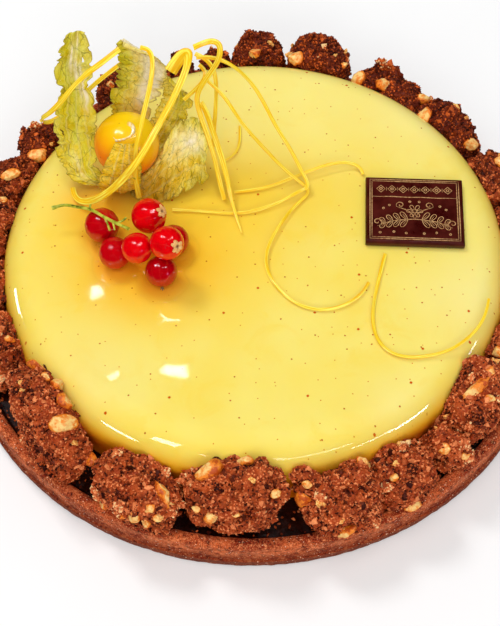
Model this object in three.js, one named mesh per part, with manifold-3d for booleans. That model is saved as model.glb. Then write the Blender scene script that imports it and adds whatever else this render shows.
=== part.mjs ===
// A glazed chocolate tart: a low chocolate shortcrust shell with a dark filling, a glazed cake dome set on
// it, nutty crumble pieces round the dome, and a garnish of redcurrants, a physalis in its husk, curling
// ribbons and a chocolate plaque. Millimetres, +Z up, origin at the centre of the underside. +X is the
// tart's right and -Y its front.

import * as THREE from "three";
import { mergeVertices } from "three/addons/utils/BufferGeometryUtils.js";
import Module from "manifold-3d";

const wasm = await Module();
wasm.setup();

// Driving dimensions
const clearance = 0.35;
const shell = { radius: 90, height: 11, wall: 3.6, floor: 3.2, seam: 0.5, waviness: 0.3 };
const filling = { top: 7.6, ripple: 0.15 };
const dome = { radius: 75, top: 30, crown: 0.3, shoulder: 11, foot: 1.4, x: 0.6, y: 0.8 };
const crumble = {
  reach: 89.4, boxiness: 2.6, relief: 0.11, grain: 0.09, swellSharpness: 4,
  nutsPerPiece: 6, nutHeight: 1.3, nutSpread: 17, neighbourAngle: 30,
};
const physalis = { radius: 9.6, x: -36.3, y: 24.8, z: 44.3 };
const husk = {
  thickness: 0.5, knobRadius: 5.5, knobThickness: 1.5, x: -37.5, y: 22.5, rows: 8, columns: 4,
};
const stem = { radius: 0.5, pedicelRadius: 0.35 };
const ribbon = { thickness: 0.4, step: 4.5 };
const plaque = { width: 28.8, depth: 24.6, thickness: 2.1, chamfer: 0.6, x: 48.1, y: 7.1, turn: -4 };

const roundSegments = 48;
const toolSegments = 32;

const domeFoot = filling.top + clearance;
const domeSummit = dome.top + dome.crown;
const tau = 2 * Math.PI;

const colours = {
  crust: new THREE.MeshStandardMaterial({ color: 0x8a4a30, roughness: 0.85 }),
  filling: new THREE.MeshStandardMaterial({ color: 0x1c0c08, roughness: 0.5 }),
  glaze: new THREE.MeshStandardMaterial({ color: 0xf0dc6c, roughness: 0.12 }),
  crumble: new THREE.MeshStandardMaterial({ color: 0x6e3a26, roughness: 0.9 }),
  redcurrant: new THREE.MeshStandardMaterial({ color: 0xd20a0a, roughness: 0.1 }),
  stem: new THREE.MeshStandardMaterial({ color: 0xb4c83c, roughness: 0.5 }),
  physalis: new THREE.MeshStandardMaterial({ color: 0xffaa10, roughness: 0.25 }),
  husk: new THREE.MeshStandardMaterial({ color: 0xc8c084, roughness: 0.7 }),
  ribbon: new THREE.MeshStandardMaterial({ color: 0xffd21e, roughness: 0.3 }),
  plaque: new THREE.MeshStandardMaterial({ color: 0x3a1410, roughness: 0.35 }),
};

const tart = new THREE.Group();

function addPiece(name, geometry, material) {
  const mesh = new THREE.Mesh(geometry, material);
  mesh.name = name;
  tart.add(mesh);
  return mesh;
}

// A small repeatable random number generator, so that every build is the same.
function seededRandom(seed) {
  let state = seed * 2654435761 >>> 0;
  return () => {
    state = (state + 0x6d2b79f5) >>> 0;
    let t = Math.imul(state ^ (state >>> 15), 1 | state);
    t = (t + Math.imul(t ^ (t >>> 7), 61 | t)) ^ t;
    return ((t ^ (t >>> 14)) >>> 0) / 4294967296;
  };
}

// Solids for boolean joins and cuts

function indexedPositions(geometry) {
  const bare = new THREE.BufferGeometry();
  bare.setAttribute("position", geometry.getAttribute("position").clone());
  if (geometry.index) bare.setIndex(geometry.index.clone());
  const merged = mergeVertices(bare, 1e-4);
  const corners = merged.index.array;
  const kept = [];
  for (let i = 0; i < corners.length; i += 3) {
    const [a, b, c] = [corners[i], corners[i + 1], corners[i + 2]];
    if (a !== b && b !== c && c !== a) kept.push(a, b, c);
  }
  merged.setIndex(kept);
  return merged;
}

function solidOf(geometry) {
  const merged = indexedPositions(geometry);
  return new wasm.Manifold(new wasm.Mesh({
    numProp: 3,
    vertProperties: new Float32Array(merged.getAttribute("position").array),
    triVerts: new Uint32Array(merged.index.array),
  }));
}

function geometryOf(solid) {
  const mesh = solid.getMesh();
  const geometry = new THREE.BufferGeometry();
  geometry.setAttribute("position", new THREE.BufferAttribute(new Float32Array(mesh.vertProperties), 3));
  geometry.setIndex(new THREE.BufferAttribute(new Uint32Array(mesh.triVerts), 1));
  geometry.computeVertexNormals();
  return geometry;
}

function largestPiece(solid) {
  const pieces = solid.decompose();
  pieces.sort((one, other) => other.volume() - one.volume());
  return pieces[0];
}

// Turned pieces: the shell, the filling and the dome

function turned(profile, segments) {
  const points = profile.map(([radius, height]) => new THREE.Vector2(radius, height));
  return new THREE.LatheGeometry(points, segments).rotateX(Math.PI / 2);
}

function moveVertices(geometry, change) {
  const position = geometry.getAttribute("position");
  const vertex = new THREE.Vector3();
  for (let i = 0; i < position.count; i += 1) {
    vertex.fromBufferAttribute(position, i);
    change(vertex);
    position.setXYZ(i, vertex.x, vertex.y, vertex.z);
  }
  return geometry;
}

// Slow unevenness of a hand-pressed rim, between -1 and 1.
function rimWave(angle) {
  return 0.45 * Math.sin(3 * angle + 0.6) + 0.3 * Math.sin(7 * angle + 2.1) + 0.25 * Math.sin(13 * angle);
}

function arc(centreRadius, centreHeight, radiusAcross, radiusUp, fromAngle, toAngle, steps) {
  const points = [];
  for (let i = 0; i <= steps; i += 1) {
    const angle = fromAngle + (toAngle - fromAngle) * i / steps;
    points.push([
      centreRadius + radiusAcross * Math.cos(angle),
      centreHeight + radiusUp * Math.sin(angle),
    ]);
  }
  return points;
}

function shellGeometry(grow = 0, segments = roundSegments) {
  const outer = shell.radius - shell.seam + grow;
  const inner = shell.radius - shell.seam - shell.wall - grow;
  const rimRadius = (outer - inner) / 2;
  const rimBase = shell.height - 1.5;
  const rim = arc(inner + rimRadius, rimBase + grow, rimRadius, 1.5, 0, Math.PI, 5);
  const profile = [
    [0, 0],
    [shell.radius - 0.7, 0],
    [shell.radius, 0.7],
    [shell.radius, shell.floor - 0.4],
    [outer, shell.floor],
    ...rim,
    [inner - 0.4, shell.floor + 1 + grow],
    [inner - 1.6, shell.floor + grow],
    [0, shell.floor + grow],
  ];
  return moveVertices(turned(profile, segments), (vertex) => {
    const radius = Math.hypot(vertex.x, vertex.y);
    if (vertex.z < shell.floor + 2 || radius < inner - 1) return;
    const angle = Math.atan2(vertex.y, vertex.x);
    vertex.z += shell.waviness * rimWave(angle);
  });
}

function fillingGeometry() {
  const radius = shell.radius - shell.seam - shell.wall - 0.4 - clearance;
  const bottom = shell.floor + clearance;
  const profile = [
    [0, bottom],
    [radius - 1.6, bottom],
    [radius - 0.3, bottom + 1.3],
    [radius, filling.top - 0.4],
    [radius - 0.6, filling.top],
    [dome.radius - 2, filling.top],
    [0, filling.top],
  ];
  return moveVertices(turned(profile, 36), (vertex) => {
    const radius = Math.hypot(vertex.x, vertex.y);
    if (vertex.z < filling.top - 0.5 || radius < dome.radius) return;
    vertex.z += filling.ripple * rimWave(2 * Math.atan2(vertex.y, vertex.x)) - filling.ripple;
  });
}

function domeGeometry(grow = 0, segments = roundSegments, steps = 6) {
  const shoulderRadius = dome.radius - dome.shoulder;
  const shoulder = arc(
    shoulderRadius, dome.top - dome.shoulder,
    dome.shoulder + grow, dome.shoulder + grow, 0, Math.PI / 2, steps,
  );
  const top = dome.top + grow;
  const profile = [
    [0, domeFoot - grow],
    [dome.radius - dome.foot + grow, domeFoot - grow],
    [dome.radius + grow, domeFoot + dome.foot],
    ...shoulder,
    [shoulderRadius * 0.5, top + dome.crown * 0.75],
    [0, top + dome.crown],
  ];
  return turned(profile, segments).translate(dome.x, dome.y, 0);
}

addPiece("crust_shell", shellGeometry(), colours.crust);
addPiece("chocolate_filling", fillingGeometry(), colours.filling);
addPiece("glazed_dome", domeGeometry(), colours.glaze);

// Crumble pieces: rough lumps with nut bits, packed into the channel between dome and rim. Angles are in
// degrees, anticlockwise from +X. along, out and up are half sizes along the rim, across it and in height,
// lean tips a lump along the rim and yaw turns it about the vertical. Each swell pushes out, or with a
// minus sign pushes in, the side that its direction [along, out, up] faces; +along is clockwise.
const crumblePieces = [
  { angle: 202, radius: 79.5, z: 17, along: 10.5, out: 8, up: 9.5, lean: -8, yaw: 0,
    swells: [[1, 0, 0.6, 0.12], [-1, 0.4, 0.6, -0.15]] },
  { angle: 223, radius: 79.5, z: 18.5, along: 16.5, out: 7.5, up: 11, lean: -12, yaw: -12, fine: true,
    swells: [[0.6, 0, 1, 0.15], [0.7, 1, -0.2, -0.2], [-1, 0.3, -0.6, 0.1]] },
  { angle: 246, radius: 81.5, z: 16.5, along: 13, out: 8.5, up: 9.5, lean: 0, yaw: -15, fine: true,
    swells: [[-0.9, 0.8, 0, 0.15], [-0.8, -0.2, 1, -0.15], [0.7, 1, -0.4, -0.2]] },
  { angle: 264.5, radius: 78, z: 18.5, along: 15.5, out: 8.5, up: 10.5, lean: 4, yaw: 0, fine: true,
    swells: [[1, 0, 0.9, -0.2], [-1, 0.6, -0.5, -0.2], [1, 0.6, -0.5, -0.2], [-0.4, 0, 1, 0.12]] },
  { angle: 280, radius: 77, z: 20.5, along: 4, out: 4, up: 4.5, lean: 0, yaw: 0, swells: [] },
  { angle: 286, radius: 82, z: 16, along: 12, out: 8.5, up: 9.5, lean: 0, yaw: 0, fine: true,
    swells: [[0.9, 0.3, -0.8, -0.25], [-0.9, 0.5, -0.5, -0.2], [0, 1, -0.6, 0.2], [0.5, 0, 1, -0.15]] },
  { angle: 298.5, radius: 82, z: 17, along: 8.5, out: 8, up: 8.5, lean: 0, yaw: 0,
    swells: [[0.6, 0, 1, -0.15]] },
  { angle: 309.5, radius: 82, z: 16.5, along: 5, out: 6, up: 7, lean: 10, yaw: 0, swells: [] },
  { angle: 320, radius: 79.5, z: 18.5, along: 13, out: 8, up: 10, lean: 6, yaw: 6, fine: true,
    swells: [[0.8, 0.5, -0.6, -0.2], [-0.4, -0.2, 1, 0.1]] },
  { angle: 334, radius: 80, z: 17, along: 8.5, out: 7.5, up: 9, lean: -6, yaw: 0, swells: [] },
  { angle: 350, radius: 80.5, z: 18, along: 12, out: 8, up: 10, lean: 7, yaw: 0,
    swells: [[0.7, 0, 1, -0.18], [-1, 0.5, 0, 0.12]] },
  { angle: 6, radius: 80, z: 17.5, along: 9, out: 7.5, up: 9.5, lean: -9, yaw: 0,
    swells: [[-0.6, 0.5, 0.8, -0.15]] },
  { angle: 21, radius: 80, z: 17, along: 10.5, out: 8, up: 9, lean: 4, yaw: 0,
    swells: [[-0.8, 0, 0.8, -0.15]] },
  { angle: 37.5, radius: 80.5, z: 16.5, along: 11.5, out: 8, up: 8.5, lean: -5, yaw: 0,
    swells: [[1, 0.2, 0.8, -0.15], [-0.5, 0.3, 1, 0.08]] },
  { angle: 55.5, radius: 80.5, z: 17.5, along: 13.5, out: 7.5, up: 8.5, lean: 8, yaw: 0,
    swells: [[-0.9, 0, 0.9, -0.2], [0.3, 0, 1, 0.08]] },
  { angle: 73.5, radius: 81.5, z: 20, along: 10, out: 8, up: 10, lean: 4, yaw: 0,
    swells: [[0.9, 0, 0.9, -0.15]] },
  { angle: 87, radius: 81.5, z: 20, along: 8.5, out: 8, up: 10.5, lean: 0, yaw: 0,
    swells: [[-0.8, 0, 1, -0.22], [0.8, 0, 1, -0.25], [0, 0, 1, 0.12]] },
  { angle: 97, radius: 82, z: 14.5, along: 5.5, out: 6.5, up: 8, lean: -8, yaw: 0, swells: [] },
  { angle: 105.5, radius: 82, z: 15.5, along: 3.8, out: 5.5, up: 8, lean: 6, yaw: 0, swells: [] },
  { angle: 121.5, radius: 82, z: 17, along: 6.5, out: 7, up: 8.5, lean: 5, yaw: 0, swells: [] },
  { angle: 144, radius: 80.5, z: 17, along: 9, out: 7.5, up: 7.8, lean: 8, yaw: 0,
    swells: [[-0.9, 0, 0.8, 0.12], [0.8, 0, 1, -0.15]] },
  { angle: 157, radius: 80, z: 19, along: 8, out: 8, up: 8.5, lean: 6, yaw: 0,
    swells: [[0.5, 0.5, 1, -0.12]] },
  { angle: 170.5, radius: 79.5, z: 18, along: 9, out: 8, up: 9.5, lean: -4, yaw: 0, swells: [] },
  { angle: 186, radius: 79.5, z: 17.5, along: 10.5, out: 8, up: 9.5, lean: 6, yaw: 0,
    swells: [[0.8, 0, 1, -0.15]] },
];

// A low, wavy relief over a unit sphere, between -1 and 1.
function lumpRelief(random) {
  const waves = [];
  for (const frequency of [1.8, 2.6, 3.7, 5.3, 7.4]) {
    const direction = new THREE.Vector3(random() - 0.5, random() - 0.5, random() - 0.5).normalize();
    waves.push({ direction: direction.multiplyScalar(frequency), phase: tau * random() });
  }
  return (unit) => {
    const sum = waves.reduce((total, wave) => total + Math.sin(unit.dot(wave.direction) + wave.phase), 0);
    return sum / waves.length;
  };
}

// How far a boxy ball's surface lies from its centre, in the direction given.
function boxyRadius(unit) {
  const power = crumble.boxiness;
  const sum = [unit.x, unit.y, unit.z].reduce((total, side) => total + Math.pow(Math.abs(side), power), 0);
  return 1 / Math.pow(sum, 1 / power);
}

function crumbleGeometry(piece, seed, grow = 0) {
  const random = seededRandom(seed);
  const relief = lumpRelief(random);
  const nuts = [];
  for (let i = 0; i < crumble.nutsPerPiece; i += 1) {
    nuts.push(new THREE.Vector3(random() - 0.5, random() - 0.5, random() - 0.2).normalize());
  }
  const swells = piece.swells.map(([x, y, z, amount]) => {
    return { way: new THREE.Vector3(x, y, z).normalize(), amount };
  });
  const swelling = (unit) => swells.reduce((total, { way, amount }) => {
    return total + amount * Math.exp(crumble.swellSharpness * (way.dot(unit) - 1));
  }, 0);
  const grainAt = (unit) => {
    return Math.sin(unit.x * 23.1 + seed) * Math.sin(unit.y * 19.7 - seed) * Math.sin(unit.z * 21.3);
  };
  const nutEdge = Math.cos(THREE.MathUtils.degToRad(crumble.nutSpread));
  const geometry = new THREE.IcosahedronGeometry(1, piece.fine ? 3 : 2);
  moveVertices(geometry, (vertex) => {
    const unit = vertex.clone();
    const roughness = crumble.relief * relief(unit) + crumble.grain * grainAt(unit);
    vertex.multiplyScalar(boxyRadius(unit) * (1 + roughness + swelling(unit)));
    vertex.set(vertex.x * piece.along, vertex.y * piece.out, vertex.z * piece.up);
    const onNut = nuts.some((nut) => nut.dot(unit) > nutEdge);
    vertex.addScaledVector(unit, grow + (onNut ? crumble.nutHeight : 0));
  });
  const angle = THREE.MathUtils.degToRad(piece.angle);
  return geometry
    .rotateY(THREE.MathUtils.degToRad(piece.lean))
    .rotateZ(angle - Math.PI / 2 + THREE.MathUtils.degToRad(piece.yaw))
    .translate(piece.radius * Math.cos(angle), piece.radius * Math.sin(angle), piece.z);
}

// What the crumble stays clear of: the shell, the filling and the dome, each with a margin.
function channelKeepOut() {
  const margin = clearance + 0.25;
  const domeMargin = margin + 0.2;
  const inside = shell.radius - 3;
  const fillingTool = turned([[0, 0], [inside, 0], [inside, domeFoot], [0, domeFoot]], toolSegments);
  return solidOf(shellGeometry(margin, toolSegments))
    .add(solidOf(fillingTool))
    .add(solidOf(domeGeometry(domeMargin, toolSegments, 4)));
}

function reachLimit() {
  const radius = crumble.reach;
  const top = 2 * dome.top;
  return solidOf(turned([[0, 0], [radius, 0], [radius, top], [0, top]], roundSegments));
}

function addCrumble() {
  const keepOut = channelKeepOut();
  const limit = reachLimit();
  const placed = [];
  crumblePieces.forEach((piece, index) => {
    const seed = index + 11;
    let solid = solidOf(crumbleGeometry(piece, seed)).intersect(limit).subtract(keepOut);
    for (const neighbour of placed) {
      const apart = Math.abs(((neighbour.piece.angle - piece.angle + 540) % 360) - 180);
      if (apart < crumble.neighbourAngle) solid = solid.subtract(neighbour.grown);
    }
    placed.push({ piece, grown: solidOf(crumbleGeometry(piece, seed, clearance + 0.1)) });
    const name = `crumble_piece_${String(index + 1).padStart(2, "0")}`;
    addPiece(name, geometryOf(largestPiece(solid)), colours.crumble);
  });
}

addCrumble();

// Redcurrants: each a ball with its dried flower end as a short tuft, pointing the way given.
const redcurrants = [
  { name: "top", x: -29.4, y: 0.2, z: 41.4, radius: 5.1, tuft: [0.75, -0.2, 0.65] },
  { name: "right_front", x: -23.8, y: -12.6, z: 45.3, radius: 4.8, tuft: [0.62, -0.62, 0.5] },
  { name: "right_behind", x: -22.7, y: -3.8, z: 34.9, radius: 4.5, tuft: [0.9, -0.4, 0.1] },
  { name: "centre", x: -32.5, y: -11.2, z: 41.4, radius: 4.4, tuft: [0.25, -0.97, 0] },
  { name: "left_bottom", x: -39.4, y: -8.2, z: 35.3, radius: 4.7, tuft: [0.4, -0.9, -0.2] },
  { name: "bottom", x: -26, y: -14.9, z: 35.2, radius: 4.6, tuft: [0.05, -0.99, 0.1] },
  { name: "left_top", x: -43.5, y: 1.6, z: 35.7, radius: 5.1, tuft: [-0.98, 0.1, 0.15] },
];

function redcurrantGeometry(berry) {
  const tuft = { radius: 0.85, height: 0.7 };
  const profile = [[0, -berry.radius]];
  const steps = 7;
  for (let i = 1; i < steps; i += 1) {
    const angle = -Math.PI / 2 + Math.PI * i / steps;
    profile.push([berry.radius * Math.cos(angle), berry.radius * Math.sin(angle)]);
  }
  profile.push([tuft.radius * 0.8, berry.radius * 0.985]);
  profile.push([tuft.radius, berry.radius + tuft.height]);
  profile.push([0, berry.radius + tuft.height * 0.6]);
  const towards = new THREE.Quaternion().setFromUnitVectors(
    new THREE.Vector3(0, 0, 1),
    new THREE.Vector3(...berry.tuft).normalize(),
  );
  return turned(profile, 10).applyQuaternion(towards).translate(berry.x, berry.y, berry.z);
}

for (const berry of redcurrants) {
  addPiece(`redcurrant_${berry.name}`, redcurrantGeometry(berry), colours.redcurrant);
}

// The redcurrants' green stem, with short side stalks

function curveThrough(course) {
  const points = course.map((point) => new THREE.Vector3(...point));
  return new THREE.CatmullRomCurve3(points, false, "centripetal");
}

function rod(course, radius, steps) {
  const section = new THREE.Shape();
  const sides = 6;
  for (let i = 0; i < sides; i += 1) {
    const angle = tau * i / sides;
    const at = [radius * Math.cos(angle), radius * Math.sin(angle)];
    if (i === 0) section.moveTo(...at);
    else section.lineTo(...at);
  }
  const path = curveThrough(course);
  return new THREE.ExtrudeGeometry(section, { steps, bevelEnabled: false, extrudePath: path });
}

const stemCourse = [
  [-58, 6.5, 38], [-54.5, 7, 38.6], [-51, 5.6, 39.6], [-46, 2.5, 41.8], [-41.5, -2, 43.8], [-37, -6, 45.4],
  [-34.4, -8.2, 46.4],
];
const stalkCourses = [
  [[-41.8, -1.8, 43.7], [-41.2, -3, 43.4], [-40.4, -4.6, 41.2]],
  [[-38.2, -5, 45], [-36.6, -4.6, 45.4], [-35.4, -3.6, 45.6]],
  [[-46.3, 2.8, 41.7], [-46.4, 3.6, 41.9], [-46.2, 4.2, 42.2]],
];

function stemGeometry() {
  let solid = solidOf(rod(stemCourse, stem.radius, 9));
  for (const course of stalkCourses) solid = solid.add(solidOf(rod(course, stem.pedicelRadius, 2)));
  return geometryOf(largestPiece(solid));
}

addPiece("currant_stem", stemGeometry(), colours.stem);

// The physalis berry and its opened papery husk

addPiece(
  "physalis_berry",
  new THREE.SphereGeometry(physalis.radius, 14, 10).translate(physalis.x, physalis.y, physalis.z),
  colours.physalis,
);

// Each lobe follows a course from the calyx to its tip. across is the way its width runs, cup curls its
// sides towards the berry's side, and ripple waves its edges.
const huskLobes = [
  {
    course: [
      [-38, 22.5, 31.7], [-44, 20, 32.4], [-49, 21, 35], [-51, 27, 40], [-51.5, 32, 47], [-50.5, 36, 56],
      [-50.5, 40, 64], [-49, 43.5, 72],
    ],
    halfWidths: [2.5, 2.6, 4.5, 6.6, 6.6, 4.2, 5.4, 0.7],
    across: [1, 0.1, 0.1], cup: 1.6, ripple: 0.7,
  },
  {
    course: [
      [-37.5, 25, 31.7], [-36.5, 34.5, 33.5], [-35.5, 38.2, 41], [-34, 39.5, 49], [-31, 40.5, 57],
      [-30.5, 41.5, 64], [-36, 43.5, 68.5],
    ],
    halfWidths: [2.5, 4, 5.5, 7, 8, 7, 1],
    across: [1, -0.35, 0], cup: 1.8, ripple: 0.6,
  },
  {
    course: [
      [-36.5, 24.5, 31.7], [-29.5, 31.5, 34.5], [-25.5, 34, 41], [-22, 35.5, 48], [-20.5, 36, 54],
      [-23, 36.5, 60],
    ],
    halfWidths: [2.5, 3.5, 4.6, 5, 4.6, 0.8],
    across: [0.9, -0.45, -0.1], cup: 1.2, ripple: 0.6,
  },
  {
    course: [
      [-37, 22.5, 31.7], [-33, 17, 33], [-26, 18.5, 39], [-20.5, 21.5, 41.5], [-15.5, 22.5, 42],
      [-13.2, 20.4, 41.4],
    ],
    halfWidths: [2.5, 4.5, 9.5, 11.5, 10, 4.6],
    across: [0.1, 0.72, 0.7], cup: 2.2, ripple: 0.8,
  },
  {
    course: [
      [-38, 21.5, 31.7], [-39, 15.5, 34], [-38.5, 12.8, 40], [-37, 13.2, 46.5], [-35.6, 16.4, 52.8],
    ],
    halfWidths: [2.5, 5.6, 5.4, 3.4, 0.5],
    across: [1, -0.12, 0.05], cup: -1.4, ripple: 0.5,
  },
];

function interpolate(values, t) {
  const place = t * (values.length - 1);
  const index = Math.min(Math.floor(place), values.length - 2);
  return THREE.MathUtils.lerp(values[index], values[index + 1], place - index);
}

// A point on a lobe's middle surface. t runs from calyx to tip and side from -1 to 1 across it.
function lobePoint(lobe, curve, t, side) {
  const along = curve.getTangent(t);
  const across = new THREE.Vector3(...lobe.across).normalize();
  const facing = new THREE.Vector3().crossVectors(across, along).normalize();
  const halfWidth = interpolate(lobe.halfWidths, t);
  const wave = lobe.ripple * side * side * Math.sin(11 * t + 2.4 * side);
  return curve.getPoint(t)
    .addScaledVector(across, side * halfWidth)
    .addScaledVector(facing, lobe.cup * side * side * Math.min(1, 3 * t) + wave);
}

function lobeGeometry(lobe) {
  const curve = curveThrough(lobe.course);
  const across = new THREE.Vector3(...lobe.across).normalize();
  const rows = husk.rows;
  const columns = husk.columns;
  const positions = [];
  for (const face of [0.5, -0.5]) {
    for (let row = 0; row <= rows; row += 1) {
      for (let column = 0; column <= columns; column += 1) {
        const t = row / rows;
        const facing = new THREE.Vector3().crossVectors(across, curve.getTangent(t)).normalize();
        const point = lobePoint(lobe, curve, t, 2 * column / columns - 1);
        point.addScaledVector(facing, face * husk.thickness);
        positions.push(point.x, point.y, point.z);
      }
    }
  }
  const perFace = (rows + 1) * (columns + 1);
  const vertexAt = (row, column) => row * (columns + 1) + column;
  const indices = [];
  for (let row = 0; row < rows; row += 1) {
    for (let column = 0; column < columns; column += 1) {
      const a = vertexAt(row, column);
      const b = vertexAt(row, column + 1);
      const c = vertexAt(row + 1, column + 1);
      const d = vertexAt(row + 1, column);
      indices.push(a, b, c, a, c, d);
      indices.push(a + perFace, c + perFace, b + perFace, a + perFace, d + perFace, c + perFace);
    }
  }
  const border = [];
  for (let column = 0; column < columns; column += 1) border.push(vertexAt(0, column));
  for (let row = 0; row < rows; row += 1) border.push(vertexAt(row, columns));
  for (let column = columns; column > 0; column -= 1) border.push(vertexAt(rows, column));
  for (let row = rows; row > 0; row -= 1) border.push(vertexAt(row, 0));
  border.forEach((from, i) => {
    const to = border[(i + 1) % border.length];
    indices.push(from, from + perFace, to + perFace, from, to + perFace, to);
  });
  const geometry = new THREE.BufferGeometry();
  geometry.setAttribute("position", new THREE.BufferAttribute(new Float32Array(positions), 3));
  geometry.setIndex(indices);
  return geometry;
}

function huskGeometry() {
  const knob = new THREE.SphereGeometry(1, 10, 4)
    .scale(husk.knobRadius, husk.knobRadius, husk.knobThickness)
    .translate(husk.x, husk.y, domeSummit + clearance + husk.knobThickness);
  let solid = solidOf(knob);
  for (const lobe of huskLobes) solid = solid.add(solidOf(lobeGeometry(lobe)));
  const berryTool = new THREE.SphereGeometry(physalis.radius + 2 * clearance, 12, 8)
    .translate(physalis.x, physalis.y, physalis.z);
  solid = solid.subtract(solidOf(berryTool)).subtract(solidOf(domeGeometry(clearance)));
  return geometryOf(largestPiece(solid));
}

addPiece("physalis_husk", huskGeometry(), colours.husk);

// Ribbons: flat strips that curl up from the husk and trail over the dome. up is the way a strip faces,
// where that isn't the default, and width is given at both ends.
const facingFront = [0, -0.5, 0.87];
const ribbons = [
  {
    name: "top_loop", width: [1.8, 1.3], up: facingFront,
    course: [
      [-15.5, 38.5, 69.5], [-13, 38.5, 71], [-10, 39, 71.5], [-8, 38.5, 70.5], [-8, 37, 68],
      [-9, 36, 65.5], [-12.5, 35, 60], [-15.5, 33.5, 55], [-14.5, 30, 51], [-10.8, 23, 42],
      [-9.5, 18, 36], [-8, 13, 32],
    ],
  },
  {
    name: "inner_drop", width: [1.3, 1.2], up: facingFront,
    course: [
      [-15.5, 44.5, 61], [-12.5, 42.5, 61], [-10, 40, 59], [-9.5, 36.5, 53], [-10.5, 32, 44],
      [-11, 28.5, 38],
    ],
  },
  {
    name: "long_tail", width: [1.3, 1.2], up: facingFront,
    course: [
      [-14, 31, 55], [-12.4, 29.5, 52], [-10.5, 26.5, 45.5], [-8.5, 22, 41], [-7, 17, 37],
      [-5.5, 10, 33], [-3, 1, 31.4],
    ],
  },
  {
    name: "long_arc", width: [1.3, 1.1], up: facingFront,
    course: [
      [-15, 40, 64], [-10.5, 40, 64], [-5.5, 39.5, 62], [-0.5, 38.5, 57], [3.5, 35.5, 52],
      [7.5, 29.5, 46], [12, 25, 40.5], [15, 20.5, 36], [17.5, 16, 33.4], [14.5, 15.5, 32.4],
      [11.5, 13.5, 32], [4.5, 10, 31.6], [-4.5, 8, 31.2], [-13, 9.5, 31.2], [-20, 10, 31.4],
    ],
  },
  {
    name: "spiral", width: [1.2, 1], up: facingFront,
    course: [
      [-12, 37.5, 57], [-7.5, 34, 54.5], [-5, 30.5, 52.5], [-1.5, 26.5, 49], [4, 23.5, 43],
      [8, 21.5, 38.5], [14, 18.5, 33.4], [18, 16.4, 31.2], [14.5, 12.5, 31.2], [11, 8, 31.6], [7, 1, 32],
      [4, -6, 32], [4, -13, 31.6], [7, -19, 31.2], [12, -24.5, 31.2], [19, -27, 31.2], [26.5, -25, 31.2],
      [31, -21, 31.2], [33, -17.5, 31.2],
    ],
  },
  {
    name: "low_arc", width: [1.2, 1], up: facingFront,
    course: [
      [-5, 16.5, 31.2], [-0.5, 17, 31.2], [6, 18, 31.6], [13, 21, 32.2], [20, 23.5, 33],
      [25.5, 25.5, 33], [30, 26, 32.4], [33, 24.8, 31.8], [34, 22.2, 31.2],
    ],
  },
  {
    name: "front_curl", width: [1.1, 0.9], up: [0, -0.2, 0.98],
    course: [
      [38.5, -7.5, 31.1], [37, -12.5, 31.1], [34.8, -20.5, 31.1], [33, -30, 31.1], [34, -37, 31.1],
      [37, -41, 31.1], [42, -43, 31.1], [48, -42.5, 31.1], [53.5, -41, 31.1], [60, -36.5, 31.1],
      [64.5, -30.5, 31.1], [66.5, -24, 31.1],
    ],
  },
  {
    name: "thin_hook", width: [0.8, 0.7], up: [0, -0.2, 0.98],
    course: [
      [-3, 43, 31.1], [-3, 38.5, 31.1], [-3.5, 34, 31.1], [-5.5, 30.5, 31.1], [-8, 29, 31.1],
    ],
  },
  {
    name: "broad_fall", width: [3.2, 1.5], up: facingFront,
    course: [
      [-22.5, 36.5, 62], [-20, 38.5, 65], [-17.5, 39.5, 67], [-17, 36, 67.5], [-18.5, 30.5, 66],
      [-22.5, 23.5, 62], [-27, 16.5, 58.5], [-31, 11, 54.5], [-35.5, 9, 49], [-41, 9, 42],
      [-45, 10, 37.5], [-49.5, 12, 33.5], [-52.5, 15, 32], [-53.5, 19, 32],
    ],
  },
  {
    name: "middle_fall", width: [1.3, 1.6], up: facingFront,
    course: [
      [-30.5, 37, 71.5], [-28, 36, 71.5], [-27, 34, 70], [-27.5, 28.5, 67], [-29, 23.5, 63.5],
      [-31, 17, 59.5], [-32.5, 13.5, 54.5], [-33.2, 12.8, 48], [-33.4, 12, 42], [-32.8, 10.4, 37],
    ],
  },
  {
    name: "left_loop", width: [1.7, 1.4], up: facingFront,
    course: [
      [-36, 34, 74], [-38.5, 32.5, 73], [-42.5, 31, 70.5], [-46.5, 31, 67], [-50.5, 30, 63],
      [-54.5, 29, 58], [-58.5, 29.5, 53], [-61.5, 31.5, 49], [-61.5, 34.5, 45.5], [-59.5, 38, 44],
      [-56.5, 41.5, 45], [-51.5, 43, 49], [-46.5, 44.5, 54], [-43, 44, 58], [-40, 43, 62],
    ],
  },
  {
    name: "cross_curl", width: [1.2, 1.2], up: facingFront,
    course: [
      [-14.5, 43.5, 57.5], [-12.5, 41.5, 56.5], [-13.4, 38.5, 55.6], [-16.3, 35, 55.2], [-19, 31.5, 55.5],
    ],
  },
];

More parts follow.
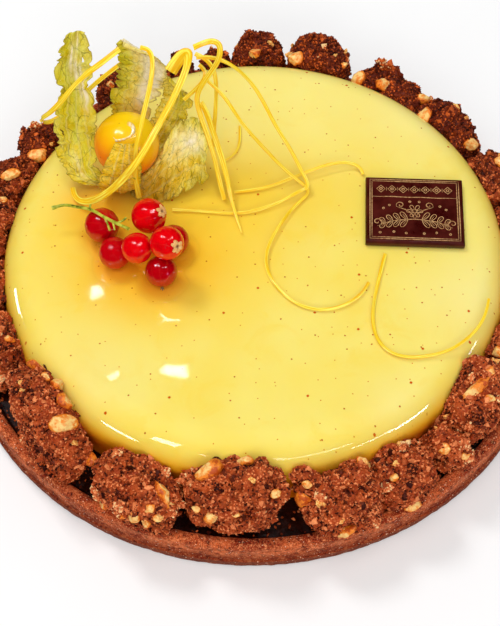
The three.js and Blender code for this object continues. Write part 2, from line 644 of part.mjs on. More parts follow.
function ribbonGeometry({ course, width, up }) {
  const curve = curveThrough(course);
  const stations = Math.max(6, Math.round(curve.getLength() / ribbon.step));
  const face = new THREE.Vector3(...up).normalize();
  const positions = [];
  for (let i = 0; i <= stations; i += 1) {
    const t = i / stations;
    const centre = curve.getPointAt(t);
    const side = new THREE.Vector3().crossVectors(face, curve.getTangentAt(t)).normalize();
    const normal = new THREE.Vector3().crossVectors(curve.getTangentAt(t), side);
    const halfWidth = THREE.MathUtils.lerp(width[0], width[1], t) / 2;
    for (const [across, over] of [[-1, -1], [1, -1], [1, 1], [-1, 1]]) {
      const corner = centre.clone()
        .addScaledVector(side, across * halfWidth)
        .addScaledVector(normal, over * ribbon.thickness / 2);
      positions.push(corner.x, corner.y, corner.z);
    }
  }
  const indices = [0, 2, 1, 0, 3, 2];
  for (let i = 0; i < stations; i += 1) {
    for (let corner = 0; corner < 4; corner += 1) {
      const a = 4 * i + corner;
      const b = 4 * i + (corner + 1) % 4;
      indices.push(a, b, b + 4, a, b + 4, a + 4);
    }
  }
  const last = 4 * stations;
  indices.push(last, last + 1, last + 2, last, last + 2, last + 3);
  const geometry = new THREE.BufferGeometry();
  geometry.setAttribute("position", new THREE.BufferAttribute(new Float32Array(positions), 3));
  geometry.setIndex(indices);
  return geometry;
}

for (const strip of ribbons) addPiece(`ribbon_${strip.name}`, ribbonGeometry(strip), colours.ribbon);

// The chocolate plaque, with chamfered top edges

function plaqueGeometry() {
  const layer = (inset, height) => {
    const x = plaque.width / 2 - inset;
    const y = plaque.depth / 2 - inset;
    return [-x, -y, height, x, -y, height, x, y, height, -x, y, height];
  };
  const positions = [
    ...layer(0, 0),
    ...layer(0, plaque.thickness - plaque.chamfer),
    ...layer(plaque.chamfer, plaque.thickness),
  ];
  const indices = [0, 2, 1, 0, 3, 2, 8, 9, 10, 8, 10, 11];
  for (const ring of [0, 4]) {
    for (let corner = 0; corner < 4; corner += 1) {
      const a = ring + corner;
      const b = ring + (corner + 1) % 4;
      indices.push(a, b, b + 4, a, b + 4, a + 4);
    }
  }
  const geometry = new THREE.BufferGeometry();
  geometry.setAttribute("position", new THREE.BufferAttribute(new Float32Array(positions), 3));
  geometry.setIndex(indices);
  return geometry
    .rotateZ(THREE.MathUtils.degToRad(plaque.turn))
    .translate(plaque.x, plaque.y, domeSummit + clearance);
}

addPiece("chocolate_plaque", plaqueGeometry(), colours.plaque);

export default tart;
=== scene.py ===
import math
import random

import bmesh
import bpy
import numpy as np
from mathutils import Matrix, Vector, noise
from mathutils.bvhtree import BVHTree


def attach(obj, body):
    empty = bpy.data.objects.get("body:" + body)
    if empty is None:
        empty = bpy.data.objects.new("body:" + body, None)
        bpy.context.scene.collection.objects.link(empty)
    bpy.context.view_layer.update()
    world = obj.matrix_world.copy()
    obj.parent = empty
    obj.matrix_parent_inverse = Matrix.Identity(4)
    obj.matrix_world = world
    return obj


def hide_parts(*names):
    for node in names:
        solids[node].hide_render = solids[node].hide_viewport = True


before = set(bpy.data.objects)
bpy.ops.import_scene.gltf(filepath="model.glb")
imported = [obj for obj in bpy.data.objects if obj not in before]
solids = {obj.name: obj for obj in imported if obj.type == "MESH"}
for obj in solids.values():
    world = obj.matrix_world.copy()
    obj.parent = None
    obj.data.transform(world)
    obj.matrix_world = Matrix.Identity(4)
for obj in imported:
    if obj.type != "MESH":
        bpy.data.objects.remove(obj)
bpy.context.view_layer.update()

# A glazed chocolate tart with redcurrants, a physalis, curled ribbons and a chocolate plaque.
# Sizes are in millimetres until a mesh is made; +Z is up and -Y is the front.

mm = 0.001
tau = 2 * math.pi
up = Vector((0, 0, 1))


def linear(channel):
    channel /= 255
    return channel / 12.92 if channel <= 0.04045 else ((channel + 0.055) / 1.055) ** 2.4


def rgb(red, green, blue):
    return (linear(red), linear(green), linear(blue), 1)


# Node graphs

# A node's output that can stand in a sum: each operation adds a Math node to its graph.
class Wire:
    def __init__(self, graph, socket):
        self.graph = graph
        self.socket = socket

    def out(self, name):
        return Wire(self.graph, self.socket.node.outputs[name])

    def __add__(self, other):
        return self.graph.maths("ADD", self, other)

    def __sub__(self, other):
        return self.graph.maths("SUBTRACT", self, other)

    def __rsub__(self, other):
        return self.graph.maths("SUBTRACT", other, self)

    def __mul__(self, other):
        return self.graph.maths("MULTIPLY", self, other)

    def __truediv__(self, other):
        return self.graph.maths("DIVIDE", self, other)

    def __rtruediv__(self, other):
        return self.graph.maths("DIVIDE", other, self)

    def __lt__(self, other):
        return self.graph.maths("LESS_THAN", self, other)

    __radd__ = __add__
    __rmul__ = __mul__


# Makes nodes: the type, then its settings, then the values or wires of its sockets.
class Graph:
    def __init__(self, tree):
        self.tree = tree

    def node(self, kind, settings=None, values=None, out=0):
        made = self.tree.nodes.new(kind)
        for name, value in (settings or {}).items():
            setattr(made, name, value)
        for name, value in (values or {}).items():
            if isinstance(value, Wire):
                self.tree.links.new(value.socket, made.inputs[name])
            else:
                made.inputs[name].default_value = value
        return Wire(self, made.outputs[out]) if made.outputs else None

    def maths(self, operation, *values):
        return self.node("ShaderNodeMath", {"operation": operation}, dict(enumerate(values)))

    def vector(self, operation, *values, out=0):
        return self.node("ShaderNodeVectorMath", {"operation": operation}, dict(enumerate(values)), out)

    def scaled(self, vector, factor):
        return self.node("ShaderNodeVectorMath", {"operation": "SCALE"}, {0: vector, "Scale": factor})

    def mix(self, factor, one, other):
        settings = {"data_type": "RGBA", "clamp_factor": True}
        return self.node("ShaderNodeMix", settings, {0: factor, 6: one, 7: other}, 2)

    def noise(self, place, size, detail=3.0, roughness=0.5, distortion=0.0):
        values = {"Vector": place, "Scale": 1 / (size * mm), "Detail": detail,
                  "Roughness": roughness, "Distortion": distortion}
        return self.node("ShaderNodeTexNoise", values=values)

    def cells(self, place, size, feature="F1"):
        values = {"Vector": place, "Scale": 1 / (size * mm)}
        return self.node("ShaderNodeTexVoronoi", {"feature": feature}, values, "Distance")

    def axis(self, vector, name):
        return self.node("ShaderNodeSeparateXYZ", values={0: vector}, out=name)

    def smooth(self, value, low, high, bottom=0.0, top=1.0):
        values = {"Value": value, "From Min": low, "From Max": high, "To Min": bottom, "To Max": top}
        return self.node("ShaderNodeMapRange", {"interpolation_type": "SMOOTHSTEP"}, values)

    # 1 at a point, falling to 0 at the radius; squash flattens the blot along each axis
    def blot(self, place, centre, radius, squash=(1, 1, 1)):
        away = self.vector("MULTIPLY", self.vector("SUBTRACT", place, [c * mm for c in centre]), squash)
        return self.smooth(self.vector("LENGTH", away, out="Value"), radius * mm, 0.0)


# A material; its surface method ends it and hands it over
class Finish(Graph):
    def __init__(self, name):
        self.material = bpy.data.materials.new(name)
        self.material.use_nodes = True
        super().__init__(self.material.node_tree)
        self.tree.nodes.clear()
        self.place = self.node("ShaderNodeTexCoord", out="Object")

    def attribute(self, name):
        return self.node("ShaderNodeAttribute", {"attribute_name": name}, out="Fac")

    def bump(self, height, depth, normal=None):
        values = {"Height": height, "Distance": depth * mm, "Strength": 1.0}
        if normal:
            values["Normal"] = normal
        return self.node("ShaderNodeBump", values=values)

    def surface(self, values):
        shader = self.node("ShaderNodeBsdfPrincipled", values=values)
        self.node("ShaderNodeOutputMaterial", values={"Surface": shader})
        return self.material


# A Geometry Nodes tree with named inputs, which ends in realised instances and one material.
class Growth(Graph):
    def __init__(self, name, sizes):
        super().__init__(bpy.data.node_groups.new(name, "GeometryNodeTree"))
        kinds = {int: "NodeSocketInt", float: "NodeSocketFloat", tuple: "NodeSocketVector"}
        sockets = self.tree.interface
        sockets.new_socket("Geometry", in_out="OUTPUT", socket_type="NodeSocketGeometry")
        sockets.new_socket("Geometry", in_out="INPUT", socket_type="NodeSocketGeometry")
        for label, value in sizes.items():
            made = sockets.new_socket(label, in_out="INPUT", socket_type=kinds[type(value)])
            made.default_value = value
        sockets.new_socket("Finish", in_out="INPUT", socket_type="NodeSocketMaterial")
        self.source = self.node("NodeGroupInput")
        self.place = self.node("GeometryNodeInputPosition")

    def size(self, name):
        return self.source.out(name)

    def random(self, low, high, seed):
        kind, first, out = ("FLOAT_VECTOR", 0, 0) if isinstance(low, tuple) else ("FLOAT", 2, 1)
        values = {first: low, first + 1: high, "Seed": seed}
        return self.node("FunctionNodeRandomValue", {"data_type": kind}, values, out)

    def keep(self, geometry, name, value, domain="POINT"):
        settings = {"data_type": "FLOAT", "domain": domain}
        return self.node("GeometryNodeStoreNamedAttribute", settings,
                         {"Geometry": geometry, "Name": name, "Value": value})

    # Jagged grains on a bed, each turned and sized at random
    def scatter(self, bed, density, size, seed, ball, jag, wave, low, high):
        points = self.node("GeometryNodeDistributePointsOnFaces",
                           values={"Mesh": bed, "Density": density, "Seed": seed})
        waves = self.node("ShaderNodeTexNoise", values={"Vector": self.place, "Scale": wave, "Detail": 1.0})
        angular = self.node("GeometryNodeSetPosition", values={
            "Geometry": ball, "Offset": self.scaled(self.place, (waves - 0.5) * jag)})
        flat = self.node("GeometryNodeSetShadeSmooth", values={"Geometry": angular, "Shade Smooth": False})
        return self.node("GeometryNodeInstanceOnPoints", values={
            "Points": points, "Instance": flat,
            "Rotation": self.random((0.0, 0.0, 0.0), (tau, tau, tau), seed + 1),
            "Scale": self.scaled(self.random(low, high, seed + 2), size)})

    def join(self, *parts):
        joined = self.node("GeometryNodeJoinGeometry", values={"Geometry": parts[0]})
        for part in parts[1:]:
            self.tree.links.new(part.socket, joined.socket.node.inputs[0])
        return joined

    def close(self, geometry):
        whole = self.node("GeometryNodeRealizeInstances", values={"Geometry": geometry})
        dressed = self.node("GeometryNodeSetMaterial",
                            values={"Geometry": whole, "Material": self.size("Finish")})
        self.node("NodeGroupOutput", values={0: dressed})
        return self

    # The mesh that the tree makes of an object, with this piece's own sizes
    def grow(self, holder, sizes, finish):
        modifier = holder.modifiers.new(self.tree.name, "NODES")
        modifier.node_group = self.tree
        given = {**sizes, "Finish": finish}
        for item in self.tree.interface.items_tree:
            if item.in_out == "INPUT" and item.name in given:
                modifier[item.identifier] = given[item.name]
        return evaluatedMesh(holder)


# Meshes

# Which pieces show the small lamps: the glaze has its own
glazed = bpy.data.collections.new("glazed")
toppings = bpy.data.collections.new("toppings")


def placed(name, data):
    holder = bpy.data.objects.new(name, data)
    bpy.context.scene.collection.objects.link(holder)
    return holder


# What an object's modifiers make of it; the object itself goes
def evaluatedMesh(holder):
    evaluated = holder.evaluated_get(bpy.context.evaluated_depsgraph_get())
    mesh = bpy.data.meshes.new_from_object(evaluated)
    bpy.data.objects.remove(holder)
    return mesh


# A finish is given where the mesh doesn't already wear one
def addPiece(name, mesh, finish, slot, replaced=()):
    if finish:
        mesh.materials.append(finish)
    piece = placed(name, mesh)
    (glazed if slot == "glaze" else toppings).objects.link(piece)
    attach(piece, "root")
    if replaced:
        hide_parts(*replaced)


def meshOf(name, points, faces, smooth=True):
    mesh = bpy.data.meshes.new(name)
    mesh.from_pydata((np.asarray(points, float) * mm).tolist(), [], faces)
    mesh.update()
    mesh.polygons.foreach_set("use_smooth", [smooth] * len(mesh.polygons))
    return mesh


def keepValues(mesh, name, values):
    mesh.attributes.new(name, "FLOAT", "POINT").data.foreach_set("value", np.asarray(values, np.float32))


def wrapMesh(mesh, name, wraps):
    layer = mesh.uv_layers.new(name=name)
    for loop in mesh.loops:
        layer.data[loop.index].uv = wraps[loop.vertex_index]


# One step of work on a mesh's vertices and faces
def reshaped(mesh, work):
    shape = bmesh.new()
    shape.from_mesh(mesh)
    work(shape)
    shape.to_mesh(mesh)
    shape.free()
    return mesh


# Quads of a grid of rows and columns, joined round when round is set
def gridFaces(rows, columns, round=False, start=0, flip=False):
    faces = []
    for row in range(rows - 1):
        for column in range(columns if round else columns - 1):
            a = start + row * columns + column
            b = start + row * columns + (column + 1) % columns
            quad = (a, b, b + columns, a + columns)
            faces.append(quad[::-1] if flip else quad)
    return faces


# Closes a ring of vertices with triangles round a point of its own
def fan(points, faces, middle, base, steps, flip):
    points.append(middle)
    for step in range(steps):
        pair = (base + step, base + (step + 1) % steps)
        faces.append((len(points) - 1, *(pair[::-1] if flip else pair)))


# A turned solid: the profile runs from the axis below to the axis above as [radius, height]
def turned(name, profile, steps, centre=(0, 0), shape=None):
    rings = profile[1:-1]
    points = []
    for radius, height in rings:
        for step in range(steps):
            angle = tau * step / steps
            x, y, z = radius * math.cos(angle), radius * math.sin(angle), height
            if shape:
                x, y, z = shape(x, y, z, angle, radius)
            points.append((x + centre[0], y + centre[1], z))
    faces = gridFaces(len(rings), steps, round=True)
    for (_, height), base, flip in ((profile[0], 0, True), (profile[-1], (len(rings) - 1) * steps, False)):
        fan(points, faces, (*centre, height), base, steps, flip)
    return meshOf(name, points, faces)


# Points of an arc of an ellipse, angles in degrees
def arc(centre, radii, start, end, steps):
    found = []
    for step in range(steps + 1):
        angle = math.radians(start + (end - start) * step / steps)
        found.append([centre[0] + radii[0] * math.cos(angle), centre[1] + radii[1] * math.sin(angle)])
    return found


def between(one, other, step, steps):
    return [one[axis] + (other[axis] - one[axis]) * step / steps for axis in (0, 1)]


# Points between two others, without either
def straight(one, other, steps):
    return [between(one, other, step, steps) for step in range(1, steps)]


# A way from a ball's centre: down is its angle from straight down, angle the turn from the right
def bearing(down, angle):
    return Vector((math.sin(down) * math.cos(angle), math.sin(down) * math.sin(angle), -math.cos(down)))


def turnedBy(x, y, angle):
    return x * math.cos(angle) - y * math.sin(angle), x * math.sin(angle) + y * math.cos(angle)


# Points of a centripetal Catmull-Rom curve through a course, and its directions, at even steps of t
def through(course, values):
    points = np.array(course, float)
    points = np.vstack([2 * points[0] - points[1], points, 2 * points[-1] - points[-2]])
    gaps = np.sqrt(np.linalg.norm(np.diff(points, axis=0), axis=1))
    places, ways = [], []
    last = len(course) - 1
    for t in values:
        index = min(int(t * last), last - 1)
        w = t * last - index
        p0, p1, p2, p3 = points[index:index + 4]
        d0, d1, d2 = gaps[index:index + 3]
        m1 = ((p1 - p0) / d0 - (p2 - p0) / (d0 + d1) + (p2 - p1) / d1) * d1
        m2 = ((p2 - p1) / d1 - (p3 - p1) / (d1 + d2) + (p3 - p2) / d2) * d1
        c2 = -3 * p1 + 3 * p2 - 2 * m1 - m2
        c3 = 2 * p1 - 2 * p2 + m1 + m2
        places.append(p1 + m1 * w + c2 * w * w + c3 * w ** 3)
        way = m1 + 2 * c2 * w + 3 * c3 * w * w
        ways.append(way / np.linalg.norm(way))
    return np.array(places), np.array(ways)


# A curve object with a polyline for each run of points
def curveOf(name, runs):
    curve = bpy.data.curves.new(name, "CURVE")
    curve.dimensions = "3D"
    for run in runs:
        spline = curve.splines.new("POLY")
        spline.points.add(len(run) - 1)
        for point, place in zip(spline.points, run):
            point.co = (*[c * mm for c in place], 1)
    return placed(name, curve)


# Camera and lights

view = {
    "lens": 74.8, "sensor": 36, "nearest": 10,
    "place": (-1.1, -230.0, 335.3), "elevation": 56.3, "roll": -1.27,
}


def setCamera():
    camera = placed("camera", bpy.data.cameras.new("camera"))
    bpy.context.scene.camera = camera
    camera.data.sensor_fit = "VERTICAL"
    camera.data.sensor_height = view["sensor"]
    camera.data.lens = view["lens"]
    camera.data.clip_start = view["nearest"] * mm
    tilt, roll = math.radians(view["elevation"]), math.radians(view["roll"])
    right, rise = Vector((1, 0, 0)), Vector((0, math.sin(tilt), math.cos(tilt)))
    across = right * math.cos(roll) + rise * math.sin(roll)
    upward = rise * math.cos(roll) - right * math.sin(roll)
    back = Vector((0, -math.cos(tilt), math.sin(tilt)))
    turn = Matrix((across, upward, back)).transposed().to_4x4()
    camera.matrix_world = Matrix.Translation(Vector(view["place"]) * mm) @ turn


# Distances and sizes of lamps are in metres; they aim at the tart's middle or at its fruit
light = {
    "world": 0.34, "middle": (0, 0, 0.02), "fruit": (-0.03, 0, 0.04),
    "sky": {"elevation": 76, "azimuth": -100, "angle": 50, "strength": 1.15},
    # large soft lamps, which don't show in the gloss
    "soft": {
        "key": {"elevation": 60, "azimuth": 132, "distance": 0.9, "size": (0.2, 0.2), "power": 2.3},
        "fill": {"elevation": 32, "azimuth": -82, "distance": 1.2, "size": (0.9, 0.4), "power": 4.4},
    },
    # small lamps a metre off which only show in the gloss, in a row overhead: elevation, azimuth and size
    "gloss": 32,
    "row": [(57, 166, 0.12), (62, 158, 0.08), (70, 172, 0.09), (78, 178, 0.11), (70, -36, 0.1),
            (62, -12, 0.07), (54, 4, 0.11), (57, -8, 0.06)],
    # lamps behind, seen in the level glaze: x, y of the reflection in millimetres, size across and along
    "glint": {"height": 30.2, "distance": 0.9, "share": 0.6},
    "glints": [(-46.6, -20.3, 0.012, 0.017), (-25.8, -29.8, 0.014, 0.009), (-23.1, -49.3, 0.018, 0.013),
               (-47.6, 19.3, 0.012, 0.009), (-42.3, -50.6, 0.012, 0.004)],
    "violet": {"elevation": 20, "azimuth": -42, "size": (0.16, 0.16), "radiance": 6,
               "colour": (0.8, 0.45, 1)},
    # long low lamps round the front, seen as a line in the shoulder:
    # azimuth from and to, elevation, height and radiance
    "strip distance": 1.3,
    "strips": [(-157, -133, 9, 0.1, 20), (-130, -122, 36, 0.24, 14), (-110, -82, 27, 0.05, 9),
               (-84, -56, 23, 0.05, 9), (-58, -42, 9, 0.06, 12), (-44, -24, 5, 0.12, 20),
               (158, 172, 6, 0.16, 20), (-4, 1, 11, 0.08, 12)],
}


white = (1, 1, 1)


def aimed(name, place, target, size, power, colour):
    lamp = bpy.data.lights.new(name, "AREA")
    lamp.shape = "RECTANGLE"
    lamp.size, lamp.size_y = size
    lamp.energy = power
    lamp.color = colour
    holder = placed(name, lamp)
    holder.location = place
    holder.rotation_euler = (Vector(target) - Vector(place)).to_track_quat("-Z", "Y").to_euler()
    return holder


# A lamp that only shows as a highlight, as bright as its radiance
def glossOnly(name, place, target, size, radiance, seenIn, colour=white):
    lamp = aimed(name, place, target, size, radiance * math.pi * size[0] * size[1], colour)
    lamp.visible_diffuse = False
    lamp.light_linking.receiver_collection = seenIn


# The way to a lamp, from degrees above the table and round from +X
def heading(elevation, azimuth):
    tilt, turn = math.radians(elevation), math.radians(azimuth)
    return Vector((math.cos(tilt) * math.cos(turn), math.cos(tilt) * math.sin(turn), math.sin(tilt)))


def setLights():
    world = bpy.data.worlds.new("studio")
    bpy.context.scene.world = world
    world.use_nodes = True
    world.cycles_visibility.glossy = False
    background = world.node_tree.nodes["Background"].inputs
    background["Color"].default_value = (1, 1, 1, 1)
    background["Strength"].default_value = light["world"]

    for name, box in light["soft"].items():
        place = heading(box["elevation"], box["azimuth"]) * box["distance"]
        aimed(name, place, light["middle"], box["size"], box["power"], white).visible_glossy = False
    sky = light["sky"]
    sun = bpy.data.lights.new("sky", "SUN")
    sun.angle = math.radians(sky["angle"])
    sun.energy = sky["strength"]
    holder = placed("sky", sun)
    holder.rotation_euler = heading(sky["elevation"], sky["azimuth"]).to_track_quat("Z", "Y").to_euler()
    holder.visible_glossy = False

    fruit = Vector(light["fruit"])
    for index, (elevation, azimuth, size) in enumerate(light["row"]):
        place = fruit + heading(elevation, azimuth)
        glossOnly(f"lamp_{index}", place, fruit, (size, size * 0.8), light["gloss"], toppings)

    eye, glint = Vector(view["place"]) * mm, light["glint"]
    for index, (x, y, wide, long) in enumerate(light["glints"]):
        spot = Vector((x, y, glint["height"])) * mm
        seen = (eye - spot).normalized()
        place = spot + Vector((-seen.x, -seen.y, seen.z)) * glint["distance"]
        glossOnly(f"glint_{index}", place, spot, (wide, long), light["gloss"] * glint["share"], glazed)

    violet = light["violet"]
    place = fruit + heading(violet["elevation"], violet["azimuth"])
    glossOnly("violet", place, fruit, violet["size"], violet["radiance"], toppings, violet["colour"])
    distance = light["strip distance"]
    for index, (start, end, elevation, high, radiance) in enumerate(light["strips"]):
        place = heading(elevation, (start + end) / 2) * distance
        wide = distance * math.radians(end - start)
        glossOnly(f"strip_{index}", place, light["middle"], (wide, high), radiance, glazed)


ground = {"half": 20000, "cloud": 60, "roughness": 0.6}


# A pale floor, wide enough to fill every view
def addFloor():
    finish = Finish("paleFloor")
    cloud = finish.noise(finish.place, ground["cloud"])
    tone = finish.mix(cloud, rgb(247, 247, 247), rgb(250, 250, 250))
    half = ground["half"]
    corners = [(-half, -half, 0), (half, -half, 0), (half, half, 0), (-half, half, 0)]
    mesh = meshOf("floor", corners, [(0, 1, 2, 3)])
    mesh.materials.append(finish.surface({
        "Base Color": tone, "Roughness": ground["roughness"], "Specular IOR Level": 0.1}))
    floor = placed("floor", mesh)
    floor.visible_glossy = False


bpy.context.scene.view_settings.view_transform = "Standard"
setCamera()
setLights()
addFloor()
print("camera, lights and floor set")

# Baked crust

crust = {
    "radius": 90, "height": 11, "wall": 3.6, "floor": 3.2, "seam": 0.5, "crown": 1.5, "waviness": 0.3,
    "steps": 900, "roughness": 0.16, "pits": 0.22,
}


def rimWave(angle):
    return 0.45 * math.sin(3 * angle + 0.6) + 0.3 * math.sin(7 * angle + 2.1) + 0.25 * math.sin(13 * angle)


def crustFinish():
    finish = Finish("bakedCrust")
    place = finish.place
    height = finish.axis(place, "Z")
    cloud = finish.noise(place, 5, 4, 0.6)
    grain = finish.noise(place, 1.1, 4, 0.7)
    fine = finish.noise(place, 0.32, 3, 0.6)
    colour = finish.mix(finish.smooth(cloud, 0.35, 0.68), rgb(156, 42, 6), rgb(228, 104, 50))
    colour = finish.mix(finish.smooth(grain, 0.52, 0.68), colour, rgb(250, 146, 90))
    colour = finish.mix(finish.smooth(grain, 0.47, 0.35), colour, rgb(70, 6, 0))
    colour = finish.mix(finish.smooth(fine, 0.54, 0.66) * 0.6, colour, rgb(255, 170, 108))
    colour = finish.mix(finish.smooth(fine, 0.46, 0.34) * 0.6, colour, rgb(52, 4, 0))
    # Painted shade: the outer wall darkens towards its foot
    colour = finish.mix(finish.smooth(height, 8 * mm, 3.5 * mm) * 0.5, colour, rgb(104, 26, 4))
    # A paler orange band on the upper outer wall, broken up by noise
    paleBand = finish.smooth(height, 4.5 * mm, 8 * mm) * finish.smooth(height, 10.4 * mm, 9 * mm)
    paleBand = paleBand * finish.smooth(finish.noise(place, 3.5, 5, 0.7), 0.42, 0.68)
    colour = finish.mix(paleBand * 0.5, colour, rgb(246, 150, 96))
    base = finish.smooth(height, 3.1 * mm, 2.7 * mm)
    colour = finish.mix(base * 0.6, colour, rgb(130, 70, 50))
    # Painted highlights: pale specks standing for small glints, where the crust is also glossier
    speck = finish.cells(place, 1.1)
    colour = finish.mix(finish.smooth(speck, 0.17, 0.1), colour, rgb(255, 206, 170))
    rough = finish.smooth(speck, 0.1, 0.2, 0.3, 0.78)
    normal = finish.bump(grain, 0.7, finish.bump(fine, 0.3))
    return finish.surface({"Base Color": colour, "Roughness": rough, "Normal": normal,
                           "Specular IOR Level": 0.25})


def makeCrust():
    edge, floor = crust["radius"], crust["floor"]
    outer = edge - crust["seam"]
    inner = outer - crust["wall"]
    middle = (outer + inner) / 2
    base = crust["height"] - crust["crown"]
    profile = [[0, 0], [edge - 20, 0.02], *straight([edge - 20, 0.02], [edge - 0.7, 0], 8), [edge - 0.7, 0],
               [edge - 0.3, 0.15], [edge - 0.08, 0.5], *straight([edge, 0.8], [edge, floor - 0.5], 5),
               [edge - 0.02, floor - 0.3], [edge - 0.2, floor - 0.04], [outer + 0.02, floor + 0.02]]
    profile += straight([outer, floor + 0.2], [outer, base], 12)
    profile += arc((middle, base), (middle - inner, crust["crown"]), 0, 180, 22)
    profile += straight([inner, base], [inner - 0.4, floor + 1], 9)
    profile += [[inner - 0.5, floor + 0.7], [inner - 0.9, floor + 0.3], [inner - 1.6, floor],
                *straight([inner - 1.6, floor], [40, floor], 6), [0, floor]]

    def shape(x, y, z, angle, radius):
        if radius < inner - 1 or z < 0.1:
            return x, y, z
        place = Vector((x, y, z))
        rough = crust["roughness"] * (noise.noise(place / 2.2) + 0.5 * noise.noise(place / 0.9))
        pit = max(0, noise.noise(place / 3.6 + Vector((40, 0, 0))) - 0.3) * crust["pits"] * 2
        if z > floor + 1:
            z += crust["waviness"] * rimWave(angle) * min(1, (z - floor - 1) / 4)
            z += (0.6 * rough - pit) * min(1, max(0, (z - base) / 1.2))
        grow = 1 + (rough - pit) / radius
        if abs(z - floor) < 0.45 and radius > outer - 0.1:
            grow += 0.12 * noise.noise(Vector((angle * 60, 0, 3))) / radius
        return x * grow, y * grow, max(z, 0)

    mesh = turned("crust_shell_baked", profile, crust["steps"], shape=shape)
    addPiece("crust_shell_baked", mesh, crustFinish(), "crust", ["crust_shell"])


makeCrust()
print("crust baked")

# Chocolate filling

filling = {"radius": 85.15, "bottom": 3.55, "top": 7.6, "bare": 72, "ripple": 0.3, "steps": 420}


def fillingFinish():
    finish = Finish("darkFilling")
    grain = finish.noise(finish.place, 1.4, 4, 0.65)
    # Near-black: dark chocolate, darkened further as painted shade in the deep gap between the crumble and
    # the rim
    colour = finish.mix(finish.smooth(grain, 0.35, 0.7), rgb(16, 3, 1), rgb(52, 14, 6))
    return finish.surface({"Base Color": colour, "Roughness": 0.55, "Normal": finish.bump(grain, 0.6)})


def makeFilling():
    edge, bottom, top, bare = (filling[name] for name in ("radius", "bottom", "top", "bare"))
    profile = [[0, bottom], [edge - 1.6, bottom], [edge - 0.6, bottom + 0.5], [edge - 0.2, bottom + 1.5],
               *straight([edge, bottom + 1.6], [edge, top - 0.5], 3), [edge - 0.1, top - 0.3],
               [edge - 0.7, top], *straight([edge - 0.7, top], [bare, top], 22), [bare, top], [0, top]]

    # its top ripples where it shows, outside the dome
    def shape(x, y, z, angle, radius):
        if z < top - 0.6 or radius < bare + 1:
            return x, y, z
        rise = noise.noise(Vector((x, y, 0)) / 1.6) + 0.5 * noise.noise(Vector((x, y, 9)) / 0.8)
        return x, y, z + filling["ripple"] * (rise - 0.25)

    mesh = turned("chocolate_filling_set", profile, filling["steps"], shape=shape)
    addPiece("chocolate_filling_set", mesh, fillingFinish(), "filling", ["chocolate_filling"])


makeFilling()
print("filling set")

# Mirror glaze

dome = {
    "radius": 75, "bottom": 7.95, "top": 30, "crown": 0.3, "shoulder": 11, "foot": 1.4, "centre": (0.6, 0.8),
    "steps": 480, "wave": 0.035, "bead": 0.35,
}
# Where fruit stands on the glaze: x, y and reach
fruitFeet = [(-43.5, 1.6, 5.4), (-39.4, -8.2, 5.6), (-26, -14.9, 5.4), (-22.7, -3.8, 5.4), (-31, -6, 5.0)]
# Soft patches of the top: blots as x, y, reach and squash, then how strong they are and their colour.
# The pale ones are painted sheen; the orange ones round the fruit are partly a stain, partly painted light
# and shade.
patches = [
    # paler at the back and on the right: partly the glaze's own paler tone, partly painted sheen
    ([(20, 66, 62, (0.6, 1, 1)), (74, -10, 42)], 0.5, rgb(250, 237, 150)),
    # pale on the right and front shoulder: painted sheen
    ([(58, 50, 34), (64, -26, 26), (40, -60, 22)], 0.4, rgb(250, 238, 166)),
    # orange round the fruit: a syrup stain, kept bright in the fruit's shadow as painted light, and deepest
    # at each foot as painted contact shade
    ([(-30, -2, 46, (0.8, 1, 0.4))], 0.8, rgb(247, 202, 44)),
    ([(-29, -9, 29, (0.9, 1.1, 0.4)), (-46, 14, 18)], 0.75, rgb(248, 172, 4)),
    *(([(x, y, reach * 1.9)], 0.7, rgb(240, 118, 0)) for x, y, reach in fruitFeet),
    ([(-4, 16, 34, (0.6, 1, 0.4))], 0.6, rgb(244, 200, 34)),
    # pale on the front-left shoulder: painted sheen
    ([(-50, -50, 30)], 0.5, rgb(244, 226, 140)),
]
# Colours that come in down the shoulder and the wall: heights where each starts and is full, strength.
# The first warms the shoulder as painted light where it turns from the lamps; the others deepen to
# amber towards the base, partly the thicker glaze and partly painted shade from the crumble.
depths = [
    (29.6, 27.5, 0.3, rgb(252, 214, 60)), (27.8, 21, 0.85, rgb(255, 190, 0)),
    (24.5, 16, 0.95, rgb(236, 108, 0)),
]
# Seeds of vanilla on the top: size of a cell, reach of a seed in it, share of cells with one, colour
seeds = [
    (4.2, 0.22, 0.3, rgb(214, 132, 0)), (7.5, 0.3, 0.4, rgb(186, 90, 0)), (14, 0.48, 0.4, rgb(206, 88, 0)),
]


def glazeColour(finish, height):
    place = finish.place
    cloud = finish.noise(place, 26, 2, 0.5)
    colour = finish.mix(finish.smooth(cloud, 0.3, 0.7), rgb(247, 222, 100), rgb(248, 229, 120))
    swirl = finish.noise(place, 11, 4, 0.6, 0.6)
    colour = finish.mix(finish.smooth(swirl, 0.5, 0.72) * 0.45, colour, rgb(246, 214, 78))
    for blots, strength, tint in patches:
        first, *rest = [finish.blot(place, (x, y, dome["top"]), reach, *squash)
                        for x, y, reach, *squash in blots]
        colour = finish.mix(sum(rest, first) * strength, colour, tint)
    for start, full, strength, tint in depths:
        colour = finish.mix(finish.smooth(height, start * mm, full * mm) * strength, colour, tint)
    return colour


def glazeSpecks(finish, colour, height):
    place = finish.place
    level = finish.smooth(height, 22 * mm, 27 * mm)
    ragged = (finish.noise(place, 0.3, 1) - 0.5) * (0.25 * mm)
    for size, reach, share, speck in seeds:
        values = {"Vector": place, "Scale": 1 / (size * mm)}
        cell = finish.node("ShaderNodeTexVoronoi", {"voronoi_dimensions": "2D"}, values, "Distance")
        chosen = finish.node("ShaderNodeSeparateColor", values={0: cell.out("Color")}) < share
        seed = finish.smooth(cell * (size * mm) + ragged, reach * mm, reach * 0.6 * mm)
        colour = finish.mix(seed * chosen * level, colour, speck)
    return colour


